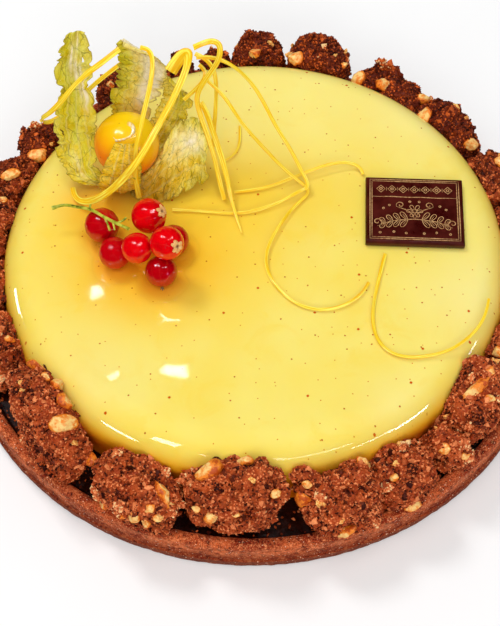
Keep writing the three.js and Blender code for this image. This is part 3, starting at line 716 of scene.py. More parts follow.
def glazeFinish():
    finish = Finish("mirrorGlaze")
    height = finish.axis(finish.place, "Z")
    colour = glazeSpecks(finish, glazeColour(finish, height), height)
    soft = finish.noise(finish.place, 14, 2)
    return finish.surface({"Base Color": colour, "Roughness": 0.03, "Normal": finish.bump(soft, 0.05),
                           "IOR": 1.42, "Coat Weight": 0.2, "Coat Roughness": 0.02,
                           "Subsurface Weight": 0.25, "Subsurface Radius": (1.0, 0.65, 0.15),
                           "Subsurface Scale": 0.004})


def domeTop(x, y):
    away = math.hypot(x - dome["centre"][0], y - dome["centre"][1])
    return dome["top"] + dome["crown"] * (1 - min(1, away / 64) ** 2)


def makeDome():
    radius, bottom, top, foot, crown = (dome[name] for name in ("radius", "bottom", "top", "foot", "crown"))
    shoulder = dome["shoulder"]
    flat, rings = radius - shoulder, 40  # the nearly level top
    profile = [[0, bottom], [radius - 2, bottom]]
    profile += arc((radius - foot, bottom + foot), (foot, foot), -80, 0, 6)
    profile += straight([radius, bottom + foot], [radius, top - shoulder], 12)
    profile += arc((flat, top - shoulder), (shoulder, shoulder), 0, 90, 34)
    for ring in range(1, rings):
        share = 1 - ring / rings
        profile.append([flat * share, top + crown * (1 - share ** 2)])
    profile.append([0, top + crown])

    def shape(x, y, z, angle, radius):
        if z > bottom + 2:
            wave = dome["wave"] * noise.noise(Vector((x, y, 0)) / 17)
            return x, y, z + wave * min(1, (z - bottom) / 15)
        grow = 1 + dome["bead"] * noise.noise(Vector((angle * 9, 0, 0))) / dome["radius"]
        return x * grow, y * grow, z

    mesh = turned("glazed_dome_mirror", profile, dome["steps"], dome["centre"], shape)
    addPiece("glazed_dome_mirror", mesh, glazeFinish(), "glaze", ["glazed_dome"])


makeDome()
print("glaze poured")

# Crumble

crumble = {
    "voxel": 0.6, "relax": 3, "sizes": {
        "Relief": 4.4 * mm, "Relief size": 5.0 * mm, "Fine relief": 2.4 * mm, "Fine size": 1.6 * mm,
        "Grain": 0.58 * mm, "Grains per area": 2.7e6, "Clod": 1.3 * mm, "Clods per area": 6e4,
        "Chunk": 2.1 * mm, "Chunks per area": 1.2e4, "Nut bit": 1.5 * mm, "Nut bits per area": 3e3, "Seed": 1,
    },
}

# Hazelnut pieces set in the crumble: place, half sizes along, across and thick, and spin
hazelnuts = [
    ((-60.5, -41.5, 27.5), (3.4, 2.6, 2.0), 20), ((-53.5, -47.0, 29.0), (3.6, 2.1, 2.2), 70),
    ((-51.8, -54.0, 29.8), (3.0, 2.4, 2.0), 10), ((-52.0, -60.0, 28.8), (4.6, 2.8, 2.4), 5),
    ((-45.8, -65.5, 19.0), (3.2, 2.0, 1.8), 60), ((-58.0, -47.0, 30.0), (2.0, 1.6, 1.4), 0),
    ((-25.2, -79.0, 23.6), (4.2, 1.9, 2.2), -60), ((-42.2, -76.2, 13.5), (2.8, 1.7, 1.5), -40),
    ((-28.6, -83.2, 24.4), (2.3, 1.7, 1.6), 40), ((-26.6, -84.6, 21.6), (2.0, 1.5, 1.5), 10),
    ((-33.0, -83.4, 19.6), (2.4, 1.8, 1.5), 80), ((-30.2, -84.9, 17.6), (2.1, 1.8, 1.5), 30),
    ((-24.0, -81.2, 20.6), (2.2, 1.3, 1.3), 100), ((-36.5, -80.6, 17.0), (2.2, 1.5, 1.4), -30),
    ((-12.8, -74.8, 28.2), (4.3, 3.3, 2.6), 15), ((-12.3, -84.6, 21.2), (2.6, 1.9, 1.6), 30),
    ((-3.4, -72.4, 28.4), (2.6, 1.7, 1.5), 0), ((-16.2, -82.2, 22.0), (1.8, 1.4, 1.3), 0),
    ((3.4, -80.4, 26.0), (2.0, 1.6, 1.3), 20), ((-6.0, -84.0, 24.0), (1.6, 1.3, 1.2), 20),
    ((11.6, -80.2, 20.4), (3.4, 2.4, 2.2), 60), ((23.6, -88.0, 14.6), (3.4, 1.5, 1.6), 55),
    ((27.6, -72.6, 23.8), (2.6, 1.6, 1.5), 0), ((12.8, -77.8, 25.0), (1.9, 1.5, 1.3), 0),
    ((41.4, -79.2, 14.4), (2.8, 1.4, 1.5), 10), ((35.8, -76.0, 24.6), (1.9, 1.4, 1.3), 0),
    ((56.4, -66.8, 19.4), (2.3, 1.6, 1.5), 40), ((50.6, -66.6, 22.4), (2.3, 2.0, 1.6), 0),
    ((59.4, -52.2, 29.0), (4.8, 1.9, 1.7), 35), ((64.2, -47.4, 30.2), (2.2, 1.5, 1.3), 30),
    ((63.4, -54.6, 27.6), (2.0, 1.4, 1.3), 0), ((68.4, -38.2, 25.0), (2.4, 1.8, 1.5), 0),
    ((56.0, 51.4, 23.8), (3.4, 2.6, 2.2), 30), ((69.8, 42.0, 21.4), (2.6, 2.2, 1.8), 0),
    ((35.4, 69.4, 25.0), (3.6, 3.0, 2.4), 0), ((43.6, 64.2, 25.8), (2.6, 2.6, 2.0), 0),
    ((57.2, 60.4, 22.8), (2.6, 2.0, 1.8), 20), ((39.0, 62.8, 19.8), (2.0, 1.6, 1.4), 0),
    ((15.8, 75.2, 27.4), (2.7, 2.7, 2.2), 0), ((2.2, 76.0, 29.2), (2.4, 1.8, 1.6), 0),
    ((33.8, 72.6, 27.0), (1.8, 1.6, 1.5), 0), ((-66.8, 39.2, 23.2), (4.0, 2.4, 2.2), 10),
    ((-74.0, 29.5, 24.8), (3.2, 1.9, 1.8), 20), ((-69.0, -31.8, 27.6), (2.2, 1.6, 1.4), 0),
    ((-75.8, 19.6, 26.0), (2.0, 1.5, 1.4), 0), ((-44.5, 67.0, 25.0), (2.2, 1.8, 1.5), 0),
    ((76.0, -12.0, 27.0), (2.4, 1.8, 1.6), 50), ((79.0, 8.0, 26.5), (2.6, 2.0, 1.6), 10),
    ((-79.0, -8.0, 26.0), (2.4, 1.9, 1.6), 10), ((77.0, 30.0, 25.5), (3.0, 2.2, 1.8), 30),
]


def crumbleFinish():
    finish = Finish("nutCrumble")
    tone = finish.attribute("tone")
    nut = finish.attribute("nut")
    patch = finish.noise(finish.place, 2.6, 3, 0.6)
    grain = finish.noise(finish.place, 0.5, 3, 0.6)
    colour = finish.mix(finish.smooth(patch, 0.3, 0.7), rgb(160, 56, 14), rgb(194, 86, 34))
    # darker and redder towards the back (+Y), with duller pale grains there
    depth = finish.smooth(finish.axis(finish.place, "Y"), 0, 50 * mm)
    colour = finish.mix(depth * 0.8, colour, rgb(86, 16, 0))
    bright = finish.mix(depth, rgb(250, 150, 90), rgb(226, 104, 36))
    # tone follows the relief and is partly random: pale tops are painted light, dark pits painted shade
    colour = finish.mix(finish.smooth(tone, 0.5, 1.0), colour, bright)
    colour = finish.mix(finish.smooth(tone, 0.42, 0.08), colour, rgb(56, 8, 0))
    # the palest grains are painted sparkle
    colour = finish.mix(finish.smooth(tone, 1.06, 1.1), colour, rgb(255, 212, 150))
    kernel = finish.mix(finish.smooth(grain, 0.35, 0.62), rgb(236, 130, 44), rgb(255, 208, 120))
    colour = finish.mix(nut, colour, kernel)
    rough = finish.smooth(grain, 0.3, 0.7, 0.4, 0.75)
    return finish.surface({"Base Color": colour, "Roughness": rough, "Specular IOR Level": 0.25,
                           "Normal": finish.bump(grain, 0.2)})


# Roughens a lump and covers it with grains, clods and nut bits
def crumbleGrowth():
    growth = Growth("crumbleGrowth", dict(crumble["sizes"]))
    normal = growth.node("GeometryNodeInputNormal")

    def waves(size, detail):
        values = {"Vector": growth.place, "Scale": 1 / growth.size(size), "Detail": detail}
        return growth.node("ShaderNodeTexNoise", values=values) - 0.5

    push = waves("Relief size", 3.0) * growth.size("Relief")
    push = push + waves("Fine size", 2.0) * growth.size("Fine relief")
    values = {"Geometry": growth.source, "Offset": growth.scaled(normal, push)}
    lump = growth.node("GeometryNodeSetPosition", values=values)
    shown = growth.smooth(growth.axis(normal, "Z"), -0.5, 0.1, 0.25, 1)  # few grains underneath

    # the tone follows the relief, low in pits and high on bumps: painted shade and light
    bare = growth.keep(growth.keep(lump, "tone", push * (0.2 / mm) + 0.3), "nut", 0.0)
    deep = growth.node("GeometryNodeInputNamedAttribute", {"data_type": "FLOAT"}, {"Name": "tone"})

    # grains of one kind on a bed; without subdivisions each one has eight faces
    def scatter(bed, name, subdivisions, jag, low, high, nut, offset):
        seed = growth.size("Seed") + offset
        density = growth.size(name + "s per area") * shown
        kind, values = "GeometryNodeMeshUVSphere", {"Radius": 1.0, "Segments": 4, "Rings": 2}
        if subdivisions:
            kind, values = "GeometryNodeMeshIcoSphere", {"Radius": 1.0, "Subdivisions": subdivisions}
        ball = growth.node(kind, values=values)
        grown = growth.scatter(bed, density, growth.size(name), seed, ball, jag, 1.1, low, high)
        # each grain takes the relief's tone under it, painted shade and light, plus a random share
        mixed = growth.keep(grown, "tone", deep + growth.random(-0.26, 0.6, seed + 3), "INSTANCE")
        return growth.keep(mixed, "nut", nut, "INSTANCE")

    chunks = scatter(bare, "Chunk", 2, 2.0, (0.4, 0.35, 0.3), (1.1, 0.9, 0.75), 0.0, 40)
    chunks = growth.node("GeometryNodeRealizeInstances", values={"Geometry": chunks})
    knobbly = growth.join(bare, chunks)
    return growth.close(growth.join(
        knobbly,
        scatter(knobbly, "Grain", 0, 1.2, (0.4, 0.4, 0.35), (1.1, 1.0, 0.9), 0.0, 10),
        scatter(knobbly, "Clod", 1, 1.6, (0.35, 0.35, 0.3), (1.0, 1.0, 0.8), 0.0, 20),
        scatter(bare, "Nut bit", 2, 2.2, (0.3, 0.3, 0.3), (1.1, 0.9, 0.8), 1.0, 30)))


# A copy of a CAD node's mesh with its doubles merged
def merged(node):
    return reshaped(solids[node].data.copy(), lambda shape: bmesh.ops.remove_doubles(
        shape, verts=shape.verts, dist=0.005 * mm))


def makeCrumble():
    finish = crumbleFinish()
    growth = crumbleGrowth()
    trees = {}
    for index in range(1, 25):
        name = f"crumble_piece_{index:02d}"
        holder = placed(name + "_lump", merged(name))
        remesh = holder.modifiers.new("even", "REMESH")
        remesh.mode = "VOXEL"
        remesh.voxel_size = crumble["voxel"] * mm
        relax = holder.modifiers.new("relax", "SMOOTH")
        relax.iterations = crumble["relax"]
        mesh = growth.grow(holder, {**crumble["sizes"], "Seed": 100 * index}, finish)
        addPiece(name + "_baked", mesh, None, "crumble", [name])
        lump = merged(name)
        trees[name] = BVHTree.FromPolygons([vertex.co for vertex in lump.vertices],
                                           [face.vertices for face in lump.polygons])
    return trees


def hazelnutFinish():
    finish = Finish("toastedHazelnut")
    toast = finish.attribute("toast")
    cloud = finish.noise(finish.place, 1.3, 3, 0.6)
    brown = cloud + toast * 0.4
    colour = finish.mix(finish.smooth(brown, 0.38, 0.68), rgb(255, 212, 130), rgb(244, 136, 36))
    colour = finish.mix(finish.smooth(brown, 0.8, 1.0), colour, rgb(190, 76, 14))
    return finish.surface({"Base Color": colour, "Roughness": 0.42, "Specular IOR Level": 0.4,
                           "Normal": finish.bump(finish.noise(finish.place, 0.6, 3), 0.2)})


# A nut with five flat cuts, which show pale flesh
def hazelnutChip(centre, normal, size, spin, seed):
    luck = random.Random(seed)
    shape = bmesh.new()
    bmesh.ops.create_icosphere(shape, subdivisions=3, radius=1)
    cuts = [(Vector((luck.uniform(-1, 1), luck.uniform(-1, 1), luck.uniform(0.1, 1))).normalized(),
             luck.uniform(0.45, 0.72)) for _ in range(5)]
    points, toasts = [], []
    for vertex in shape.verts:
        place = vertex.co.copy()
        depth = 0
        for way, limit in cuts:
            over = place.dot(way) - limit
            if over > 0:
                place -= way * over * 0.96
                depth = max(depth, over)
        place *= 1 + 0.2 * noise.noise(vertex.co * 1.7 + Vector((seed, 0, 0)))
        place *= 1 + 0.06 * noise.noise(vertex.co * 6 + Vector((seed, 0, 0)))
        points.append(Vector((place.x * size[0], place.y * size[1], place.z * size[2])))
        toasts.append(max(0, 1 - depth * 6))
    faces = [[vertex.index for vertex in face.verts] for face in shape.faces]
    shape.free()
    turn = up.rotation_difference(normal).to_matrix() @ Matrix.Rotation(math.radians(spin), 3, "Z")
    return [turn @ point + centre for point in points], faces, toasts


def makeHazelnuts(trees):
    points, faces, toasts = [], [], []
    for index, (place, size, spin) in enumerate(hazelnuts):
        nearest = None
        for tree in trees.values():
            hit, normal, _, away = tree.find_nearest(Vector(place) * mm)
            if hit and (nearest is None or away < nearest[0]):
                nearest = (away, hit / mm, normal)
        _, spot, normal = nearest
        half = Vector(size) * (0.98 if max(size) > 2.3 else 0.8)
        chip = hazelnutChip(spot + normal * (half.z * 0.25 + 0.25), normal, half, spin, index)
        faces += [[vertex + len(points) for vertex in face] for face in chip[1]]
        points += chip[0]
        toasts += chip[2]
    mesh = meshOf("hazelnut_pieces", points, faces)
    keepValues(mesh, "toast", toasts)
    addPiece("hazelnut_pieces", mesh, hazelnutFinish(), "crumble")


trees = makeCrumble()
print("crumble grown")
makeHazelnuts(trees)
print("hazelnuts set")

# Loose crumbs in the channel and on the rim

crumbs = {"Crumb": 0.62 * mm, "Crumbs per area": 2.2e5, "Seed": 3}
# rings of the bed that they lie on: radius, height and how thickly
crumbBed = [(75.8, 7.9, 1), (78, 7.8, 1), (82, 7.8, 1), (84.6, 7.9, 0.8),
            (85.3, 10.6, 0.02), (86.4, 11.3, 0.05), (87.8, 11.3, 0.03), (88.9, 10.8, 0.02)]
# where more of them lie on the rim: azimuth and width in degrees
spills = [(-79.5, 5), (-66, 6), (-60.5, 5), (-74, 4), (-118, 5), (-96, 4), (-45, 5)]


def crumbGrowth():
    growth = Growth("crumbGrowth", dict(crumbs))
    seed = growth.size("Seed")
    amount = growth.node("GeometryNodeInputNamedAttribute", {"data_type": "FLOAT"}, {"Name": "amount"})
    ball = growth.node("GeometryNodeMeshIcoSphere", values={"Radius": 1.0, "Subdivisions": 2})
    grown = growth.scatter(growth.source, growth.size("Crumbs per area") * amount, growth.size("Crumb"), seed,
                           ball, 1.6, 1.2, (0.25, 0.25, 0.25), (1.1, 1.0, 0.8))
    # random tones kept low: partly the crumbs' own colour, partly painted shade in the channel
    toned = growth.keep(grown, "tone", growth.random(0.0, 0.8, seed + 3), "INSTANCE")
    return growth.close(growth.keep(toned, "nut", 0.0, "INSTANCE"))


def makeCrumbs():
    points, amounts, steps = [], [], 240
    for radius, height, amount in crumbBed:
        for step in range(steps):
            angle = 360 * step / steps - 180
            points.append((*turnedBy(radius, 0, math.radians(angle)), height))
            spill = max(math.exp(-((angle - at) / wide) ** 2) for at, wide in spills)
            onRim = radius > filling["radius"]
            amounts.append(amount * (1 + 9 * spill ** 3) if onRim else amount)
    mesh = meshOf("crumb_bed", points, gridFaces(len(crumbBed), steps, round=True, flip=True))
    keepValues(mesh, "amount", amounts)
    finish = bpy.data.materials["nutCrumble"]
    addPiece("loose_crumbs", crumbGrowth().grow(placed("bed", mesh), crumbs, finish), None, "crumble")


makeCrumbs()
print("crumbs spilled")

# Redcurrants

# Each berry's place and radius, the way its dried flower end points and whether that is open, and how deep
# its
# red is: deeper on the lower berries, as painted shade from the ones above
currants = {
    "top": {"at": (-29.4, 0.2, 41.4), "radius": 5.1, "tuft": (0.75, -0.2, 0.65), "open": True, "tone": 0},
    "right_front": {
        "at": (-23.8, -12.6, 45.3), "radius": 4.8, "tuft": (0.62, -0.62, 0.5), "open": True, "tone": 0},
    "right_behind": {
        "at": (-22.7, -3.8, 34.9), "radius": 4.5, "tuft": (0.75, 0.3, -0.6), "open": False, "tone": 0.7},
    "centre": {
        "at": (-32.5, -11.2, 41.4), "radius": 4.4, "tuft": (0.2, -0.2, -0.96), "open": False, "tone": 0.05},
    "left_bottom": {
        "at": (-39.4, -8.2, 35.3), "radius": 4.7, "tuft": (0.3, 0.2, -0.9), "open": False, "tone": 0.55},
    "bottom": {
        "at": (-26, -14.9, 35.2), "radius": 4.6, "tuft": (0.05, -0.93, -0.36), "open": False, "tone": 0.7},
    "left_top": {
        "at": (-43.5, 1.6, 35.7), "radius": 5.1, "tuft": (-0.6, 0.5, -0.6), "open": False, "tone": 0.6},
}
currantSkin = {"rows": 40, "steps": 56, "veins": 12, "swell": 0.006, "dip": 0.045, "dip reach": 0.16}


def currantFinish(name, tone):
    finish = Finish("currantSkin_" + name)
    wrap = finish.node("ShaderNodeUVMap", {"uv_map": "skin"})
    veins = finish.maths("SINE", finish.axis(wrap, "X") * (currantSkin["veins"] * tau)) * 0.5 + 0.5
    cloud = finish.noise(finish.place, 2.4, 2)
    bright, deep = rgb(230, 0, 10), rgb(158, 0, 16)
    # tone deepens the red of the lower berries: painted shade
    base = tuple(one + (other - one) * tone for one, other in zip(bright, deep))
    colour = finish.mix(finish.smooth(cloud, 0.4, 0.7) * 0.5, base, rgb(176, 0, 8))
    colour = finish.mix(finish.smooth(veins, 0.93, 1.0) * 0.1, colour, rgb(250, 60, 40))
    return finish.surface({"Base Color": colour, "Roughness": 0.12, "IOR": 1.42, "Coat Weight": 0.5,
                           "Coat Roughness": 0.03, "Subsurface Weight": 0.2,
                           "Subsurface Radius": (1.0, 0.12, 0.08), "Subsurface Scale": 0.0022,
                           "Normal": finish.bump(veins, 0.02)})


def makeCurrant(name, berry):
    rows, steps = currantSkin["rows"], currantSkin["steps"]
    turn = up.rotation_difference(Vector(berry["tuft"]).normalized()).to_matrix()
    points, wraps = [], []
    for row in range(rows + 1):
        down = math.pi * row / rows
        for step in range(steps + 1):
            angle = tau * step / steps
            swell = 1 + currantSkin["swell"] * math.cos(currantSkin["veins"] * angle) * math.sin(down)
            dip = 1 - currantSkin["dip"] * math.exp(-((math.pi - down) / currantSkin["dip reach"]) ** 2)
            points.append(turn @ (bearing(down, angle) * berry["radius"] * swell * dip) + Vector(berry["at"]))
            wraps.append((step / steps, row / rows))
    mesh = meshOf(f"redcurrant_{name}_fresh", points, gridFaces(rows + 1, steps + 1))
    wrapMesh(mesh, "skin", wraps)

    def close(shape):
        bmesh.ops.remove_doubles(shape, verts=shape.verts, dist=0.002 * mm)
        bmesh.ops.recalc_face_normals(shape, faces=shape.faces)

    finish = currantFinish(name, berry["tone"])
    addPiece(f"redcurrant_{name}_fresh", reshaped(mesh, close), finish, "redcurrant", [f"redcurrant_{name}"])


# Dried flower ends: open ones have crumpled petals, closed ones a dark stub
calyx = {
    "open": {"petals": 6, "long": 1.75, "wide": 0.62, "dark": 0.75, "fade": 2.2},
    "closed": {"petals": 4, "long": 0.4, "wide": 0.26, "dark": 0.75, "fade": 0},
    "rows": 9, "columns": 5, "half thickness": 0.11, "depth": 0.965,
}


def calyxFinish():
    finish = Finish("driedCalyx")
    shade = finish.attribute("shade")
    cloud = finish.noise(finish.place, 0.5, 3)
    colour = finish.mix(finish.smooth(cloud, 0.35, 0.65), rgb(226, 158, 84), rgb(246, 196, 128))
    colour = finish.mix(shade, colour, rgb(70, 26, 14))
    return finish.surface({"Base Color": colour, "Roughness": 0.75, "Normal": finish.bump(cloud, 0.1)})


def makeCalyxes():
    rows, columns = calyx["rows"], calyx["columns"]
    size = rows * columns
    rim = [*range(columns), *(row * columns + columns - 1 for row in range(1, rows)),
           *(size - 2 - column for column in range(columns - 1)),
           *(row * columns for row in range(rows - 2, 0, -1))]
    points, faces, shades = [], [], []
    for index, berry in enumerate(currants.values()):
        luck = random.Random(index)
        kind = calyx["open" if berry["open"] else "closed"]
        way = Vector(berry["tuft"]).normalized()
        turn = up.rotation_difference(way).to_matrix()
        root = Vector(berry["at"]) + way * berry["radius"] * calyx["depth"]
        for petal in range(kind["petals"]):
            lean = Matrix.Rotation(tau * petal / kind["petals"] + luck.uniform(-0.2, 0.2), 3, "Z")
            wide = kind["wide"] * luck.uniform(0.8, 1.2)
            base = len(points)
            for side in (calyx["half thickness"], -calyx["half thickness"]):
                for row in range(rows):
                    t = row / (rows - 1)
                    reach = 0.2 + kind["long"] * t * luck.uniform(0.97, 1.03)
                    lift = 0.35 + (0.32 * math.sin(2.6 * t) if berry["open"] else 0.75 * t)
                    lift += side - 0.3 * (reach / 2) ** 2
                    width = wide * math.sin(math.pi * (0.16 + 0.76 * t)) ** 0.7
                    for column in range(columns):
                        across = 2 * column / (columns - 1) - 1
                        dent = 0.1 * noise.noise(Vector((t * 4, across * 2, petal + 7 * index)))
                        flat = Vector((reach, across * width, lift + dent - 0.12 * across * across))
                        points.append(turn @ (lean @ flat) + root)
                        shades.append(max(0, kind["dark"] - kind["fade"] * t))
            faces += gridFaces(rows, columns, start=base)
            faces += gridFaces(rows, columns, start=base + size, flip=True)
            for one, other in zip(rim, rim[1:] + rim[:1]):
                faces.append((base + one, base + one + size, base + other + size, base + other))
    mesh = meshOf("currant_calyxes", points, faces)
    keepValues(mesh, "shade", shades)
    addPiece("currant_calyxes", mesh, calyxFinish(), "stem")


for name, berry in currants.items():
    makeCurrant(name, berry)
makeCalyxes()
print("redcurrants ripe")

# Currant stem

stalk = {"Radius": 0.45 * mm, "Step": 0.35 * mm, "Knobs": 0.28}
# The main stalk and its side stalks: a course, and a thickness as a share of the main one's
stalkCourses = [
    ([[-58, 6.5, 38], [-54.5, 7, 38.6], [-51, 5.6, 39.6], [-46, 2.5, 41.8], [-41.5, -2, 43.8],
      [-37, -6, 45.4], [-34.4, -8.2, 46.4]], 1.0),
    ([[-41.8, -1.8, 43.7], [-41.2, -3, 43.4], [-40.4, -4.6, 41.2]], 0.7),
    ([[-38.2, -5, 45], [-36.6, -4.6, 45.4], [-35.4, -3.6, 45.6]], 0.7),
    ([[-46.3, 2.8, 41.7], [-46.4, 3.6, 41.9], [-46.2, 4.2, 42.2]], 0.7),
    ([[-39.4, -3.9, 44.6], [-39.0, -5.0, 44.2], [-38.8, -6.0, 43.2]], 0.6),
]


def stalkGrowth():
    growth = Growth("stalkGrowth", dict(stalk))
    even = growth.node("GeometryNodeResampleCurve", {"mode": "LENGTH"},
                       {"Curve": growth.source, "Length": growth.size("Step")})
    knots = growth.node("ShaderNodeTexNoise", values={"Vector": growth.place, "Scale": 420.0, "Detail": 2.0})
    thick = growth.node("GeometryNodeInputRadius") * (1 + (knots - 0.5) * growth.size("Knobs") * 2)
    ring = growth.node("GeometryNodeCurvePrimitiveCircle",
                       values={"Resolution": 12, "Radius": growth.size("Radius")})
    tube = growth.node("GeometryNodeCurveToMesh", values={
        "Curve": even, "Profile Curve": ring, "Scale": thick, "Fill Caps": True})
    return growth.close(growth.node("GeometryNodeSetShadeSmooth", values={"Geometry": tube}))


def stemFinish():
    finish = Finish("greenStalk")
    cloud = finish.noise(finish.place, 1.6, 3)
    colour = finish.mix(finish.smooth(cloud, 0.38, 0.62), rgb(146, 156, 22), rgb(204, 204, 70))
    colour = finish.mix(finish.smooth(cloud, 0.4, 0.32), colour, rgb(90, 88, 14))
    return finish.surface({"Base Color": colour, "Roughness": 0.35, "Normal": finish.bump(cloud, 0.1)})


def makeStem():
    holder = curveOf("stalk", [through(course, np.linspace(0, 1, 40))[0] for course, _ in stalkCourses])
    for spline, (_, thick) in zip(holder.data.splines, stalkCourses):
        for index, point in enumerate(spline.points):
            along = index / (len(spline.points) - 1)
            point.radius = thick * (1 + 0.5 * math.exp(-((along - 0.02) / 0.03) ** 2))
    mesh = stalkGrowth().grow(holder, stalk, stemFinish())
    addPiece("currant_stem_green", mesh, None, "stem", ["currant_stem"])


makeStem()
print("stem grown")

# Physalis

physalis = {
    "at": (-36.3, 24.8, 44.3), "radius": 9.6, "rows": 64, "steps": 96, "unevenness": 0.006,
    "specks": [(-37.6, 24.5, 53.6), (-43.5, 18.9, 45.7), (-33.4, 20.9, 52.3)], "speck": 0.42,
}
syrup = {
    "course": [(-35.2, 24.4, 53.7), (-34.2, 23.9, 53.5), (-33.6, 22.9, 53.2), (-33.7, 21.8, 52.9),
               (-34.2, 20.8, 52.6), (-35.4, 20.1, 52.3), (-37.0, 19.7, 52.1), (-38.4, 19.6, 52.0),
               (-39.3, 20.6, 52.3)],
    "points": 60, "sizes": {"Radius": 0.62 * mm, "Step": 0.2 * mm, "Knobs": 0.5},
}


def physalisFinish():
    finish = Finish("physalisSkin")
    place = finish.place
    away = finish.vector("SUBTRACT", place, Vector(physalis["at"]) * mm)
    # Painted light and shade: yellow on the lit top, deep orange on the shaded lower side; ripe is how far a
    # point lies towards the lit top
    litWay = Vector((0.35, 0.1, 0.93)) / (physalis["radius"] * mm)
    ripe = finish.vector("DOT_PRODUCT", away, litWay, out="Value")
    ripe = ripe + (finish.noise(place, 5, 2) - 0.5) * 0.3
    colour = finish.mix(finish.smooth(ripe, -0.35, 0.85), rgb(250, 112, 0), rgb(255, 202, 0))
    # the palest yellow at the very top is a painted highlight
    colour = finish.mix(finish.smooth(ripe, 0.72, 1.0), colour, rgb(255, 214, 16))
    fleck = finish.cells(place, 0.9)
    colour = finish.mix(finish.smooth(fleck, 0.14, 0.05) * 0.35, colour, rgb(255, 226, 110))
    for speck in physalis["specks"]:
        colour = finish.mix(finish.blot(place, speck, physalis["speck"]) * 0.95, colour, rgb(120, 20, 0))
    return finish.surface({"Base Color": colour, "Roughness": 0.22, "IOR": 1.42, "Coat Weight": 0.4,
                           "Coat Roughness": 0.1, "Subsurface Weight": 0.08,
                           "Subsurface Radius": (1.0, 0.35, 0.05), "Subsurface Scale": 0.003,
                           "Normal": finish.bump(finish.noise(place, 1.1, 2), 0.03)})


def syrupFinish():
    finish = Finish("sugarSyrup")
    cloud = finish.noise(finish.place, 0.9, 2)
    colour = finish.mix(finish.smooth(cloud, 0.35, 0.65), rgb(252, 206, 92), rgb(255, 244, 210))
    return finish.surface({"Base Color": colour, "Roughness": 0.06, "Coat Weight": 0.7,
                           "Coat Roughness": 0.02})


def makePhysalis():
    rows, steps = physalis["rows"], physalis["steps"]
    centre, radius = Vector(physalis["at"]), physalis["radius"]
    points = []
    for row in range(1, rows):
        for step in range(steps):
            way = bearing(math.pi * row / rows, tau * step / steps)
            points.append(centre + way * radius * (1 + physalis["unevenness"] * noise.noise(way * 2.2)))
    faces = gridFaces(rows - 1, steps, round=True)
    fan(points, faces, centre - up * radius, 0, steps, True)
    fan(points, faces, centre + up * radius, (rows - 2) * steps, steps, False)
    mesh = meshOf("physalis_berry_ripe", points, faces)
    addPiece("physalis_berry_ripe", mesh, physalisFinish(), "physalis", ["physalis_berry"])


# A trail of syrup with thick and thin stretches, which lies on the berry
def makeSyrup():
    centre = Vector(physalis["at"])
    run, _ = through(syrup["course"], np.linspace(0, 1, syrup["points"]))
    run = [centre + (Vector(place) - centre).normalized() * (physalis["radius"] + 0.02) for place in run]
    holder = curveOf("trail", [run])
    for index, point in enumerate(holder.data.splines[0].points):
        along = index / (syrup["points"] - 1)
        end = math.sin(math.pi * min(1, 0.08 + along)) ** 0.4
        point.radius = (0.75 + 0.5 * math.sin(7 * along + 0.6)) * end + 0.15
    mesh = stalkGrowth().grow(holder, syrup["sizes"], syrupFinish())
    addPiece("syrup_drip", mesh, None, "physalis")


makePhysalis()
makeSyrup()
print("physalis ripe")

# Papery husk

